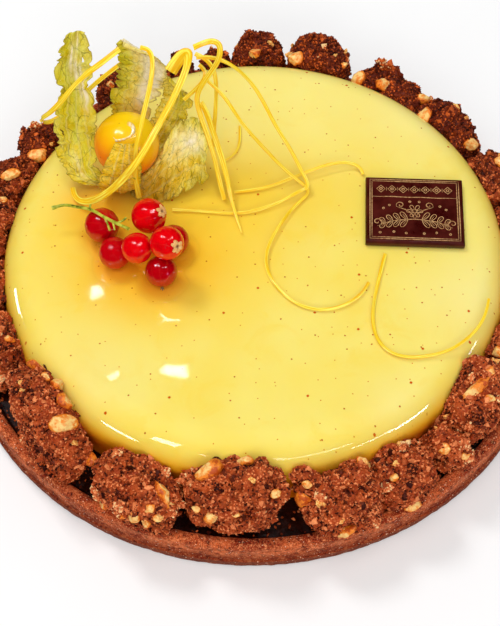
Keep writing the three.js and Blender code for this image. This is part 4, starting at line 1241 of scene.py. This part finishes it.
# Lobes run from the calyx to the tip: half widths along them, the way across, how far the edges rise, and how
# ragged they are; green, tan, dark and pale are blots as (place along, place across, reach, amount): stains,
# save the middle lobe's pale, which is painted light
lobes = [
    {
        "course": [(-38, 22.5, 31.7), (-44, 20, 32.4), (-49, 21, 35), (-51, 27, 40), (-51.5, 32, 47),
                   (-50.5, 36, 56), (-50.5, 40, 64), (-49, 43.5, 72)],
        "widths": [2.5, 2.6, 4.5, 6.6, 6.6, 5.2, 5.6, 2.8], "across": (1, 0.1, 0.1),
        "cup": 1.6, "ripple": 0.7,
        "green": [(0.75, -0.3, 0.7, 0.8), (0.35, 0.3, 0.5, 0.75), (0.95, 0, 0.3, 0.5)],
        "tan": [(0.3, -0.6, 0.3, 0.3), (0.5, 0.6, 0.25, 0.35)], "dark": [(1, 0, 0.06, 0.5)], "rag": 0.42,
        "pale": [(0.87, -0.15, 0.07, 1.6), (0.82, 0.1, 0.07, 1.6), (0.76, 0.35, 0.07, 1.6),
                 (0.7, 0.6, 0.07, 1.6), (0.95, 0.2, 0.06, 1), (0.34, -0.2, 0.09, 0.5)],
    },
    {
        "course": [(-37.5, 25, 31.7), (-36.5, 34.5, 33.5), (-35.5, 38.2, 41), (-34, 39.5, 49),
                   (-31, 40.5, 57), (-30.5, 41.5, 64), (-36, 43.5, 68.5)],
        "widths": [2.5, 4, 5.5, 7, 8, 7, 1], "across": (1, -0.35, 0), "cup": 1.8, "ripple": 0.6,
        "green": [(0.8, -0.9, 0.3, 1), (0.6, -0.9, 0.3, 0.9), (0.55, 0.1, 0.25, 0.4)],
        "tan": [(0.45, 0.2, 0.2, 0.5)], "dark": [(0.62, -0.95, 0.14, 0.5)], "rag": 0.45,
        # pale: this lobe's cream, made paler as painted light where it lies in shade
        "pale": [(0.87, 0.3, 0.3, 1.6), (0.68, 0.45, 0.3, 1.6), (0.52, 0.6, 0.2, 1)],
    },
    {
        "course": [(-36.5, 24.5, 31.7), (-29.5, 31.5, 34.5), (-25.5, 34, 41), (-22, 35.5, 48),
                   (-20.5, 36, 54), (-23, 36.5, 60)],
        "widths": [2.5, 3.5, 4.6, 5, 4.6, 0.8], "across": (0.9, -0.45, -0.1), "cup": 1.2, "ripple": 0.6,
        "green": [(0.8, 0.2, 0.35, 0.9), (0.5, 0.5, 0.3, 0.6)], "tan": [(0.4, -0.3, 0.3, 0.5)], "dark": [],
        "pale": [], "rag": 0.3,
    },
    {
        "course": [(-37, 22.5, 31.7), (-33, 17, 33), (-26, 18.5, 39), (-20.5, 21.5, 41.5),
                   (-15.5, 22.5, 42), (-13.2, 20.4, 41.4)],
        "widths": [2.5, 4.5, 9.5, 11.5, 10, 4.6], "across": (0.1, 0.72, 0.7), "cup": 2.2, "ripple": 0.8,
        "green": [(0.97, 0.1, 0.2, 0.8), (0.85, -0.9, 0.25, 0.35), (0.75, 0.95, 0.22, 0.6)],
        "tan": [(0.3, -0.4, 0.36, 1.4), (0.5, -0.45, 0.27, 1.3)],
        "dark": [(0.42, -0.75, 0.16, 0.45), (0.36, -0.35, 0.2, 0.35), (0.8, -0.8, 0.12, 0.2)], "rag": 0.25,
        "pale": [(0.72, 0.35, 0.22, 0.9), (0.6, 0.6, 0.16, 0.6)],
    },
    {
        "course": [(-38, 21.5, 31.7), (-39, 15.5, 34), (-38.5, 12.6, 40), (-37.2, 13, 46.8),
                   (-35.6, 16.6, 53.8)],
        "widths": [2.5, 6.0, 6.4, 5.6, 3.2], "across": (1, -0.12, 0.05), "cup": -1.4, "ripple": 0.5,
        "green": [(0.5, 0.9, 0.2, 0.3)], "tan": [(0.5, -0.2, 0.7, 2), (0.8, 0, 0.5, 1.5)],
        "dark": [(0.2, 0.4, 0.2, 0.2)], "rag": 0.16, "pale": [],
    },
]
husk = {
    "rows": 120, "columns": 64, "thickness": 0.22, "crinkle": 0.75, "crease": 0.22,
    "ribs": (-0.55, 0.05, 0.6), "rib": 0.25, "over berry": 0.45, "over glaze": 0.35,
    "unit": 120, "knob": (-37.5, 22.5),
}
stainsAndPaintedLight = ("green", "tan", "dark", "pale")


def huskFinish():
    finish = Finish("paperyHusk")
    green, tan, dark, pale, rib = (finish.attribute(name) for name in (*stainsAndPaintedLight, "rib"))
    sheet = finish.scaled(finish.node("ShaderNodeUVMap", {"uv_map": "sheet"}), husk["unit"] * mm)
    wander = finish.node("ShaderNodeTexNoise", values={"Vector": sheet, "Scale": 260.0, "Detail": 2.0},
                         out="Color")
    wander = finish.scaled(finish.vector("SUBTRACT", wander, (0.5, 0.5, 0.5)), 2.2 * mm)
    long = finish.vector("MULTIPLY", finish.vector("ADD", sheet, wander), (0.6, 1, 1))
    coarse = finish.cells(long, 3.6, "DISTANCE_TO_EDGE")
    fine = finish.cells(long, 1.3, "DISTANCE_TO_EDGE")
    blotch = finish.noise(sheet, 3.5, 3, 0.6)
    fibre = finish.noise(sheet, 0.7, 3, 0.6)
    colour = finish.mix(finish.smooth(blotch, 0.3, 0.7), rgb(242, 204, 8), rgb(255, 238, 120))
    colour = finish.mix(green * finish.smooth(blotch, 0.2, 0.6, 0.6, 1), colour, rgb(186, 190, 0))
    colour = finish.mix(tan * finish.smooth(blotch, 0.7, 0.3, 0.6, 1), colour, rgb(255, 196, 16))
    # pale: ribs and cream, and on the middle lobe painted light
    colour = finish.mix(pale * finish.smooth(blotch, 0.25, 0.6, 0.7, 1), colour, rgb(255, 240, 204))
    colour = finish.mix(finish.smooth(fibre, 0.5, 0.75) * 0.22, colour, rgb(255, 246, 160))
    shade = finish.smooth(finish.noise(sheet, 7, 4, 0.6), 0.5, 0.34)
    colour = finish.mix(shade * 0.35, colour, rgb(176, 146, 0))
    vein = finish.smooth(coarse, 0.034, 0.01)
    small = finish.smooth(fine, 0.08, 0.03)
    patchy = finish.smooth(finish.noise(sheet, 3, 3), 0.36, 0.56, 0.15, 1)
    patchy = patchy * (1 - pale * 0.6)
    colour = finish.mix(small * patchy * 0.3, colour, rgb(140, 130, 0))
    colour = finish.mix(vein * patchy * 0.55, colour, rgb(96, 88, 0))
    colour = finish.mix(rib * 0.35, colour, rgb(228, 216, 140))
    # dark: brown stains and rims, and painted shade at the lobes' feet
    colour = finish.mix(dark, colour, rgb(104, 48, 8))
    relief = vein + small * 0.5 + rib * 0.8 + fibre * 0.5
    return finish.surface({"Base Color": colour, "Roughness": 0.62, "Specular IOR Level": 0.15,
                           "Subsurface Weight": 0.2, "Subsurface Radius": (1.0, 0.8, 0.3),
                           "Subsurface Scale": 0.002, "Normal": finish.bump(relief, 0.08)})


# Half a lobe's width at t, on a smooth curve
def lobeWidth(widths, t):
    places, _ = through([(index, width, 0) for index, width in enumerate(widths)], [t])
    return max(0.25, float(places[0][1]))


# How strong the strongest of a lobe's blots is at a point
def blotStrength(blots, t, side, wobble):
    amounts = [amount * math.exp(-((t - at) / reach) ** 2 - ((side - edge) / reach / 1.6) ** 2)
               for at, edge, reach, amount in blots]
    return min(1, max([0, *amounts]) * (0.8 + 0.5 * wobble))


def lobeMesh(index, lobe):
    rows, columns = husk["rows"], husk["columns"]
    across = Vector(lobe["across"]).normalized()
    places, ways = through(lobe["course"], np.linspace(0, 1, rows))
    centre, clear = Vector(physalis["at"]), physalis["radius"] + husk["over berry"]
    values = {name: [] for name in (*stainsAndPaintedLight, "rib")}
    points, wraps, torn = [], [], []
    for row in range(rows):
        t = row / (rows - 1)
        facing = across.cross(Vector(ways[row])).normalized()
        half = lobeWidth(lobe["widths"], t)
        for column in range(columns):
            side = 2 * column / (columns - 1) - 1
            edge = 1 if side > 0 else -1
            # ragged edges
            jag = noise.noise(Vector((t * 13, edge * 5, index)))
            jag += 0.7 * noise.noise(Vector((t * 37, edge, index)))
            jag += 0.5 * noise.noise(Vector((t * 90, edge, index)))
            reach = 1 - lobe["rag"] * max(0, jag + 0.1) * min(1, 4 * t)
            seed = Vector((t * 9, side * 2.2, 17 * index))
            # crinkles, creases, ribs and waves
            lift = husk["crinkle"] * noise.noise(seed) + husk["crease"] * abs(noise.noise(seed * 3.1))
            lift += 0.12 * noise.noise(seed * 8)
            rib = max(math.exp(-((side - at * (1 - 0.4 * t)) / 0.045) ** 2) for at in husk["ribs"])
            lift += husk["rib"] * rib
            wave = lobe["ripple"] * side * side * math.sin(11 * t + 2.4 * side)
            lift = (lift + 0.5 * wave * side * side) * min(1, 5 * t)
            place = Vector(places[row]) + across * side * half * reach
            place += facing * (lobe["cup"] * side * side * min(1, 3 * t) + wave + lift)
            # clear of the berry and the glaze
            away = place - centre
            if away.length < clear:
                place = centre + away.normalized() * clear
            place.z = max(place.z, domeTop(place.x, place.y) + husk["over glaze"])
            points.append(place)
            wobble = noise.noise(seed * 2)
            for name in stainsAndPaintedLight:
                values[name].append(blotStrength(lobe[name], t, side, wobble))
            # darker at the foot, where the lobes meet under the berry: brown, deepened as painted shade; the
            # thin brown rims are their own
            foot = math.exp(-(t / 0.11) ** 2) * 0.85
            rim = max(0, (abs(side) - 0.93) / 0.07) * 0.4
            values["dark"][-1] = min(1, max(values["dark"][-1], foot, rim))
            values["rib"].append(rib)
            wraps.append((t * 60 / husk["unit"], 0.1 + 0.2 * index + side * half / husk["unit"]))
            # holes in the ragged lobes, near their edges
            hole = noise.noise(Vector((t * 16, side * 5, 3 + index)))
            torn.append(hole > 0.52 and lobe["rag"] > 0.28 and t > 0.35 and abs(side) > 0.45)
    faces = [face for face in gridFaces(rows, columns) if not all(torn[vertex] for vertex in face)]
    sheet = meshOf(f"lobe_{index}", points, faces)
    for name, amounts in values.items():
        keepValues(sheet, name, amounts)
    wrapMesh(sheet, "sheet", wraps)
    return sheet


# A thin sheet given its thickness
def thickened(sheet):
    holder = placed("sheet", sheet)
    solid = holder.modifiers.new("thick", "SOLIDIFY")
    solid.thickness = husk["thickness"] * mm
    solid.offset = 0
    return evaluatedMesh(holder)


# The calyx that the lobes grow from, with five soft corners
def knob():
    profile = [[0, 30.75], [2.6, 30.75], [4.4, 30.9], [5.4, 31.6], [5.2, 32.4], [3.6, 33.2], [0, 33.6]]

    def corners(x, y, z, angle, radius):
        grow = 1 + 0.06 * math.sin(5 * angle)
        return x * grow, y * grow, z

    lump = turned("knob", profile, 60, husk["knob"], corners)
    # the calyx is as dark as the lobes' feet: brown, deepened as painted shade
    for name, value in zip((*stainsAndPaintedLight, "rib"), (0.3, 0.6, 0.75, 0, 0)):
        keepValues(lump, name, [value] * len(lump.vertices))
    size = husk["unit"] * mm
    wrapMesh(lump, "sheet", [(point.co.x / size + 0.9, point.co.y / size + 0.5) for point in lump.vertices])
    return lump


def makeHusk():
    whole = bmesh.new()
    for index, lobe in enumerate(lobes):
        whole.from_mesh(thickened(lobeMesh(index, lobe)))
    whole.from_mesh(knob())
    mesh = bpy.data.meshes.new("physalis_husk_dried")
    whole.to_mesh(mesh)
    whole.free()
    addPiece("physalis_husk_dried", mesh, huskFinish(), "husk", ["physalis_husk"])


makeHusk()
print("husk opened")

# Ribbons

# Each one: widths along it, the way it faces, its course
front, flatUp = (0, -0.5, 0.87), (0, -0.2, 0.98)
ribbons = {
    "top_loop": ([1.8, 1.6, 1.3], front, [
        (-15.5, 38.5, 69.5), (-13, 38.5, 71), (-10, 39, 71.5), (-8, 38.5, 70.5), (-8, 37, 68), (-9, 36, 65.5),
        (-12.5, 35, 60), (-15.5, 33.5, 55), (-14.5, 30, 51), (-10.8, 23, 42), (-9.5, 18, 36), (-8, 13, 32)]),
    "inner_drop": ([1.3, 1.2], front, [
        (-15.5, 44.5, 61), (-12.5, 42.5, 61), (-10, 40, 59), (-9.5, 36.5, 53), (-10.5, 32, 44),
        (-11, 28.5, 38)]),
    "long_tail": ([1.5, 1.7, 1.7, 1.3, 0.5], front, [
        (-14, 31, 55), (-12.4, 29.5, 52), (-10.5, 26.5, 45.5), (-8.5, 22, 41), (-7, 17, 37), (-5.5, 10, 33),
        (-3, 1, 31.4)]),
    "long_arc": ([1.2, 1.1, 0.9], front, [
        (-15, 40, 64), (-10.5, 40, 64), (-5.5, 39.5, 62), (-0.5, 38.5, 57), (3.5, 35.5, 52), (7.5, 29.5, 46),
        (12, 25, 40.5), (15, 20.5, 36), (17.5, 16, 33.4), (14.5, 15.5, 32.4), (11.5, 13.5, 32),
        (4.5, 10, 31.6), (-4.5, 8, 31.2), (-13, 9.5, 31.2), (-23.5, 10.2, 31.4)]),
    "spiral": ([1.1, 1.0, 0.9], front, [
        (-12, 37.5, 57), (-7.5, 34, 54.5), (-5, 30.5, 52.5), (-1.5, 26.5, 49), (4, 23.5, 43), (8, 21.5, 38.5),
        (14, 18.5, 33.4), (18, 16.4, 31.2), (14.5, 12.5, 31.2), (11, 8, 31.6), (7, 1, 32), (4, -6, 32),
        (4, -13, 31.6), (7, -19, 31.2), (12, -24.5, 31.2), (19, -27, 31.2), (26.5, -25, 31.2),
        (31, -21, 31.2), (33, -17.5, 31.2)]),
    "low_arc": ([1.0, 1.0], front, [
        (-5, 16.5, 31.2), (-0.5, 17, 31.2), (6, 18, 31.6), (13, 21, 32.2), (20, 23.5, 33), (25.5, 25.5, 33),
        (30, 26, 32.4), (33, 24.8, 31.8), (34, 22.2, 31.2)]),
    "front_curl": ([1.1, 0.9], flatUp, [
        (38.5, -7.5, 31.1), (37, -12.5, 31.1), (34.8, -20.5, 31.1), (33, -30, 31.1), (34, -37, 31.1),
        (37, -41, 31.1), (42, -43, 31.1), (48, -42.5, 31.1), (53.5, -41, 31.1), (60, -36.5, 31.1),
        (64.5, -30.5, 31.1), (66.5, -24, 31.1)]),
    "thin_hook": ([0.8, 0.7], flatUp, [
        (-3, 43, 31.1), (-3, 38.5, 31.1), (-3.5, 34, 31.1), (-5.5, 30.5, 31.1), (-8, 29, 31.1)]),
    "broad_fall": ([3.8, 3.6, 2.9, 2.1, 1.9, 1.9, 2.1, 2.3, 2.3, 2.0, 1.7, 1.6], front, [
        (-22.5, 36.5, 62), (-20, 38.5, 65), (-17.5, 39.5, 67), (-17, 36, 67.5), (-18.5, 30.5, 66),
        (-22.5, 23.5, 62), (-27, 16.5, 58.5), (-31, 11, 54.5), (-35.5, 9, 49), (-41, 9, 42),
        (-45, 10, 37.5), (-49.5, 12, 33.5), (-52.5, 15, 32), (-53.5, 19, 32)]),
    "middle_fall": ([1.3, 1.4, 1.6], front, [
        (-30.5, 37, 71.5), (-28, 36, 71.5), (-27, 34, 70), (-27.5, 28.5, 67), (-29, 23.5, 63.5),
        (-31, 17, 59.5), (-32.5, 13.5, 54.5), (-33.2, 12.8, 48), (-33.4, 12, 42), (-32.8, 10.4, 37)]),
    "left_loop": ([1.7, 1.4], front, [
        (-36, 34, 74), (-38.5, 32.5, 73), (-42.5, 31, 70.5), (-46.5, 31, 67), (-50.5, 30, 63),
        (-54.5, 29, 58), (-58.5, 29.5, 53), (-61.5, 31.5, 49), (-61.6, 34, 44.5), (-59.6, 38, 40.5),
        (-55.8, 41, 41), (-51, 42.5, 45.5), (-46.9, 43, 49.9), (-40.9, 43.5, 55.5), (-35.8, 43.5, 60)]),
    "cross_curl": ([1.2, 1.2], front, [
        (-14.5, 43.5, 57.5), (-12.5, 41.5, 56.5), (-13.4, 38.5, 55.6), (-16.3, 35, 55.2),
        (-19, 31.5, 55.5)]),
}
strip = {"Thickness": 0.09, "Arch": 0.16, "Twist": 0.9, "Step": 0.5 * mm, "Facing": front}
ribbonCourse = {"points per place": 12, "smoothings": 60, "sharp above": 40}


def ribbonGrowth():
    growth = Growth("ribbonGrowth", dict(strip))
    even = growth.node("GeometryNodeResampleCurve", {"mode": "LENGTH"},
                       {"Curve": growth.source, "Length": growth.size("Step")})
    length = growth.node("GeometryNodeSplineParameter", out="Length")
    even = growth.keep(even, "along", length)
    tangent = growth.node("GeometryNodeInputTangent")
    side = growth.vector("NORMALIZE", growth.vector("CROSS_PRODUCT", growth.size("Facing"), tangent))
    over = growth.vector("CROSS_PRODUCT", tangent, side)
    waves = growth.node("ShaderNodeTexNoise", values={"Vector": growth.place, "Scale": 95.0, "Detail": 1.0})
    lean = (waves - 0.5) * growth.size("Twist") * 2
    over = growth.vector("NORMALIZE", growth.vector("ADD", over, growth.scaled(side, lean)))
    facing = growth.node("GeometryNodeSetCurveNormal", {"mode": "FREE"}, {"Curve": even, "Normal": over})
    ring = growth.node("GeometryNodeCurvePrimitiveQuadrilateral", {"mode": "RECTANGLE"}, {
        "Width": growth.size("Thickness"), "Height": 1.0})
    fine = growth.node("GeometryNodeResampleCurve", {"mode": "COUNT"}, {"Curve": ring, "Count": 28})
    across = growth.axis(growth.place, "Y")
    bend = growth.node("ShaderNodeCombineXYZ", values={"X": across * across * growth.size("Arch") * -1})
    arched = growth.node("GeometryNodeSetPosition", values={"Geometry": fine, "Offset": bend})
    profile = growth.keep(arched, "across", across)
    width = growth.node("GeometryNodeInputRadius")
    band = growth.node("GeometryNodeCurveToMesh", values={
        "Curve": facing, "Profile Curve": profile, "Scale": width * mm, "Fill Caps": True})
    return growth.close(band)


def ribbonFinish():
    finish = Finish("satinRibbon")
    along, across = finish.attribute("along"), finish.attribute("across")

    def lanes(wide, long, detail):
        lane = finish.node("ShaderNodeCombineXYZ", values={"X": across * wide, "Y": along * long})
        return finish.node("ShaderNodeTexNoise", values={"Vector": lane, "Scale": 1.0, "Detail": detail})

    streak, wave = lanes(6, 90, 3.0), lanes(1.5, 75, 2.0)
    colour = finish.mix(finish.smooth(streak, 0.32, 0.66), rgb(244, 184, 0), rgb(255, 216, 0))
    # Painted highlights: bright lemon spots along the satin
    colour = finish.mix(finish.smooth(wave * 0.6 + streak * 0.8, 0.65, 0.79), colour, rgb(255, 242, 90))
    # Painted shade: deeper orange-yellow bands along it
    colour = finish.mix(finish.smooth(wave, 0.46, 0.3) * 0.6, colour, rgb(236, 160, 0))
    edge = finish.smooth(finish.maths("ABSOLUTE", across), 0.4, 0.5)
    colour = finish.mix(edge * 0.4, colour, rgb(226, 152, 0))
    return finish.surface({"Base Color": colour, "Roughness": 0.3, "Specular IOR Level": 0.35,
                           "Normal": finish.bump(streak, 0.02)})


def makeRibbons():
    growth = ribbonGrowth()
    finish = ribbonFinish()
    for name, (widths, facing, course) in ribbons.items():
        run, _ = through(course, np.linspace(0, 1, ribbonCourse["points per place"] * len(course)))
        for _ in range(ribbonCourse["smoothings"]):
            run[1:-1] = (run[:-2] + 2 * run[1:-1] + run[2:]) / 4
        holder = curveOf(name, [run])
        last = len(run) - 1
        for index, point in enumerate(holder.data.splines[0].points):
            point.radius = float(np.interp(index / last * (len(widths) - 1), range(len(widths)), widths))
        mesh = growth.grow(holder, {**strip, "Facing": facing}, finish)
        mesh.polygons.foreach_set("use_smooth", [True] * len(mesh.polygons))
        mesh.set_sharp_from_angle(angle=math.radians(ribbonCourse["sharp above"]))
        addPiece(f"ribbon_{name}_satin", mesh, None, "ribbon", [f"ribbon_{name}"])


makeRibbons()
print("ribbons curled")

# Chocolate plaque

plaque = {
    "width": 28.8, "depth": 24.6, "thickness": 2.1, "at": (48.1, 7.1, 30.65), "turn": -4, "corner": 0.35,
    # the moulded side from below: how far each ring is inset, and its height
    "side": [(0.4, 0), (0.1, 0.04), (0, 0.2), (0, 1.4), (0.05, 1.52), (0.5, 2.0), (0.62, 2.08), (0.8, 2.1)],
    "rings": 7, "chips": 0.16, "unevenness": 0.02,
    "line": 0.24, "foil": 0.05, "borders": (1.25, 1.85), "divider": 4.6,
}


def onPlaque(x, y, z):
    across, along = turnedBy(x, y, math.radians(plaque["turn"]))
    return plaque["at"][0] + across, plaque["at"][1] + along, plaque["at"][2] + z


def plaqueFinish():
    finish = Finish("darkPlaque")
    cloud = finish.noise(finish.place, 5, 4, 0.6)
    scuff = finish.noise(finish.place, 0.8, 3, 0.7)
    colour = finish.mix(finish.smooth(cloud, 0.35, 0.7), rgb(54, 2, 0), rgb(82, 12, 0))
    colour = finish.mix(finish.smooth(scuff, 0.62, 0.8) * 0.3, colour, rgb(110, 48, 30))
    return finish.surface({"Base Color": colour, "Roughness": finish.smooth(cloud, 0.3, 0.7, 0.26, 0.42),
                           "Specular IOR Level": 0.4, "Normal": finish.bump(scuff, 0.05)})


# The plaque's outline, inset, with points along its long edges too
def roundedRing(inset, height):
    points = []
    x, y, corner = plaque["width"] / 2 - inset, plaque["depth"] / 2 - inset, plaque["corner"]
    for start, (sx, sy) in zip((-90, 0, 90, 180), ((1, -1), (1, 1), (-1, 1), (-1, -1))):
        points += arc((sx * (x - corner), sy * (y - corner)), (corner, corner), start, start + 90, 6)
    ring = []
    for one, other in zip(points, points[1:] + points[:1]):
        pieces = 24 if math.dist(one, other) > 5 else 1
        ring += [(*between(one, other, step, pieces), height) for step in range(pieces)]
    return ring


def makePlaque():
    side, rings, top = plaque["side"], plaque["rings"], plaque["thickness"]
    points, size = [], 0
    for inset, height in side:
        ring = roundedRing(inset, height)
        size = len(ring)
        for x, y, z in ring:
            worn = 0.1 < height < top
            chip = plaque["chips"] * max(0, noise.noise(Vector((x, y, 0)) / 1.3) - 0.25) if worn else 0
            points.append(onPlaque(x * (1 - chip / 15), y * (1 - chip / 15), z - chip * 0.3))
    inner = roundedRing(*side[-1])
    for ring in range(1, rings):
        share = 1 - ring / rings
        for x, y, z in inner:
            rise = plaque["unevenness"] * noise.noise(Vector((x, y, 0)) * share / 4)
            points.append(onPlaque(x * share, y * share, z + rise))
    faces = gridFaces(len(side) + rings - 1, size, round=True)
    fan(points, faces, onPlaque(0, 0, 0), 0, size, True)
    fan(points, faces, onPlaque(0, 0, top), (len(side) + rings - 2) * size, size, False)
    mesh = meshOf("chocolate_plaque_tempered", points, faces)
    addPiece("chocolate_plaque_tempered", mesh, plaqueFinish(), "plaque", ["chocolate_plaque"])


def foilFinish():
    finish = Finish("goldFoil")
    wear = finish.noise(finish.place, 0.7, 4, 0.7)
    colour = finish.mix(finish.smooth(wear, 0.3, 0.6), rgb(176, 116, 62), rgb(244, 196, 134))
    return finish.surface({"Base Color": colour, "Metallic": 0.35, "Roughness": 0.35,
                           "Normal": finish.bump(wear, 0.03)})


# A fine raised line along flat points, thinner at open ends
def foilLine(line, closed, points, faces, width):
    base, count = len(points), len(line)
    top = plaque["thickness"]
    for index, (x, y) in enumerate(line):
        before = line[index - 1] if index or closed else line[0]
        after = line[(index + 1) % count] if index < count - 1 or closed else line[-1]
        dx, dy = after[0] - before[0], after[1] - before[1]
        long = math.hypot(dx, dy) or 1
        half = width / 2 * (1 if closed else min(1, 0.35 + 3 * min(index, count - 1 - index) / count))
        half *= 1 + 0.35 * noise.noise(Vector((x, y, 0)) / 0.9)
        nx, ny = -dy / long * half, dx / long * half
        for sx, z in ((1, -0.02), (1, plaque["foil"]), (-1, plaque["foil"]), (-1, -0.02)):
            points.append(onPlaque(x + sx * nx, y + sx * ny, top + z))
    for index in range(count if closed else count - 1):
        a, b = base + 4 * index, base + 4 * ((index + 1) % count)
        for corner in range(4):
            other = (corner + 1) % 4
            faces.append((a + corner, b + corner, b + other, a + other))
    if not closed:
        faces.append((base + 3, base + 2, base + 1, base))
        last = base + 4 * (count - 1)
        faces.append((last, last + 1, last + 2, last + 3))


def smoothLine(course, steps):
    places, _ = through([(x, y, 0) for x, y in course], np.linspace(0, 1, steps))
    return [(place[0], place[1]) for place in places]


def leaf(x, y, long, wide, turn):
    outline, steps = [], 18
    for step in range(steps):
        angle = tau * step / steps
        across, along = turnedBy(long / 2 * (1 - math.cos(angle)),
                                 wide / 2 * math.sin(angle) * (1 - 0.35 * math.cos(angle)), turn)
        outline.append((x + across, y + along))
    return outline


def coil(x, y, radius, start, turns, hand):
    line, steps = [], 40
    for step in range(steps):
        t = step / (steps - 1)
        across, along = turnedBy(radius * (1 - 0.85 * t), 0, start + hand * turns * tau * t)
        line.append((x + across, y + along))
    return line


def dot(x, y, radius):
    return [(x + radius * math.cos(angle), y + radius * math.sin(angle))
            for angle in np.linspace(0, tau, 9)[:-1]]


# The sprig: its stem, where leaves stand along each half, how far they spread, a tendril, dots and petals
sprig = {
    "stem": [(-10.8, -6.4), (-7, -4.6), (-3, -3.9), (0, -3.6), (3, -3.9), (7, -4.6), (10.8, -6.4)],
    "leaves": (2.2, 4.4, 6.6, 8.8), "spread": 0.95,
    "tendril": [(0, -3.6), (1.2, -1.2), (2.6, -0.2), (5.2, 0.9)],
    "dots": [(1.4, 2.9), (7.4, 1.4), (9.2, 0.2), (6.2, -8.4), (2.6, -8.8), (10.2, -8.8)], "petals": 6,
}


def makeFoil():
    points, faces = [], []
    width, depth, bar = plaque["width"] / 2, plaque["depth"] / 2, plaque["divider"]

    def draw(line, closed=False, wide=plaque["line"]):
        foilLine(line, closed, points, faces, wide)

    for inset in plaque["borders"]:
        x, y = width - inset, depth - inset
        corners = [(-x, -y), (x, -y), (x, y), (-x, y)]
        for one, other in zip(corners, corners[1:] + corners[:1]):
            draw([between(one, other, step, 50) for step in range(51)])
    draw([(x * (width - 1.9), bar + 0.06 * math.sin(9 * x)) for x in np.linspace(-1, 1, 60)])

    # a band of lozenges, rings and bars between the divider and the border
    middle = (bar + depth - plaque["borders"][-1]) / 2
    for x in np.linspace(-9.9, 9.9, 7):
        draw([(x - 1.25, middle), (x, middle + 1.3), (x + 1.25, middle), (x, middle - 1.3)], True)
        draw(dot(x, middle, 0.4), True)
    for x in np.linspace(-8.25, 8.25, 6):
        draw([(x, middle - 0.7), (x, middle + 0.7)], False, 0.3)

    # below it a sprig of leaves with coiled tendrils
    draw(smoothLine(sprig["stem"], 60))
    for hand in (-1, 1):
        for index, along in enumerate(sprig["leaves"]):
            foot = -3.7 - 0.02 * along ** 2
            size = 3.3 - 0.35 * index
            for rise in (1, -1):
                turn = rise * sprig["spread"] if hand > 0 else math.pi - rise * sprig["spread"]
                draw(leaf(hand * along, foot, size, 1.25, turn), True, 0.2)
                draw([(hand * along + t * size * math.cos(turn), foot + t * size * math.sin(turn))
                      for t in (0.1, 0.4, 0.75)], False, 0.16)
        draw(coil(hand * 11.0, -4.9, 1.5, -math.pi / 2, 1.3, -hand))
        draw(coil(hand * 4.2, 1.6, 1.3, -0.6 if hand > 0 else math.pi + 0.6, 1.2, hand))
        draw(smoothLine([(hand * x, y) for x, y in sprig["tendril"]], 24))
        for x, y in sprig["dots"]:
            draw(dot(hand * x, y, 0.3), True, 0.22)
    for turn in np.linspace(0, tau, sprig["petals"] + 1)[:-1]:
        draw(leaf(0.5 * math.cos(turn), -0.6 + 0.5 * math.sin(turn), 1.9, 1.0, turn), True, 0.18)
    mesh = meshOf("plaque_gold_foil", points, faces, smooth=False)
    addPiece("plaque_gold_foil", mesh, foilFinish(), "plaque")


makePlaque()
makeFoil()
print("plaque stamped")

# Syrup round the fruit

pool = {
    "x": (-54, -14), "y": (-26, 12), "step": 0.35, "film": 0.07, "rise": 0.55, "spread": 1.2, "wander": 1.2,
    "beyond": 2.1, "sunk": 0.03, "cut": -0.02,
}


# A thin film round each foot with a wandering edge, which climbs the fruit
def poolHeight(x, y):
    rise, film = 0, 0
    wander = pool["beyond"] + pool["wander"] * noise.noise(Vector((x, y, 5)) / 4.5)
    for fx, fy, reach in fruitFeet:
        away = math.hypot(x - fx, y - fy)
        rise = max(rise, pool["rise"] * math.exp(-(max(0, away - reach * 0.55) / pool["spread"]) ** 2))
        film = max(film, pool["film"] * min(1, (reach + wander - away) / 0.5))
    return rise * (1 if film > 0 else 0.2) + film - pool["sunk"]


def makePool():
    xs = np.arange(*pool["x"], pool["step"])
    ys = np.arange(*pool["y"], pool["step"])
    heights = [poolHeight(x, y) for y in ys for x in xs]
    spots = [(x, y) for y in ys for x in xs]
    points = [(x, y, domeTop(x, y) + height) for (x, y), height in zip(spots, heights)]
    faces = [face for face in gridFaces(len(ys), len(xs))
             if max(heights[vertex] for vertex in face) > pool["cut"]]
    mesh = reshaped(meshOf("syrup_pool", points, faces), lambda shape: bmesh.ops.delete(
        shape, geom=[vertex for vertex in shape.verts if not vertex.link_faces], context="VERTS"))
    addPiece("syrup_pool", mesh, bpy.data.materials["mirrorGlaze"], "glaze")


makePool()
print("syrup pooled")
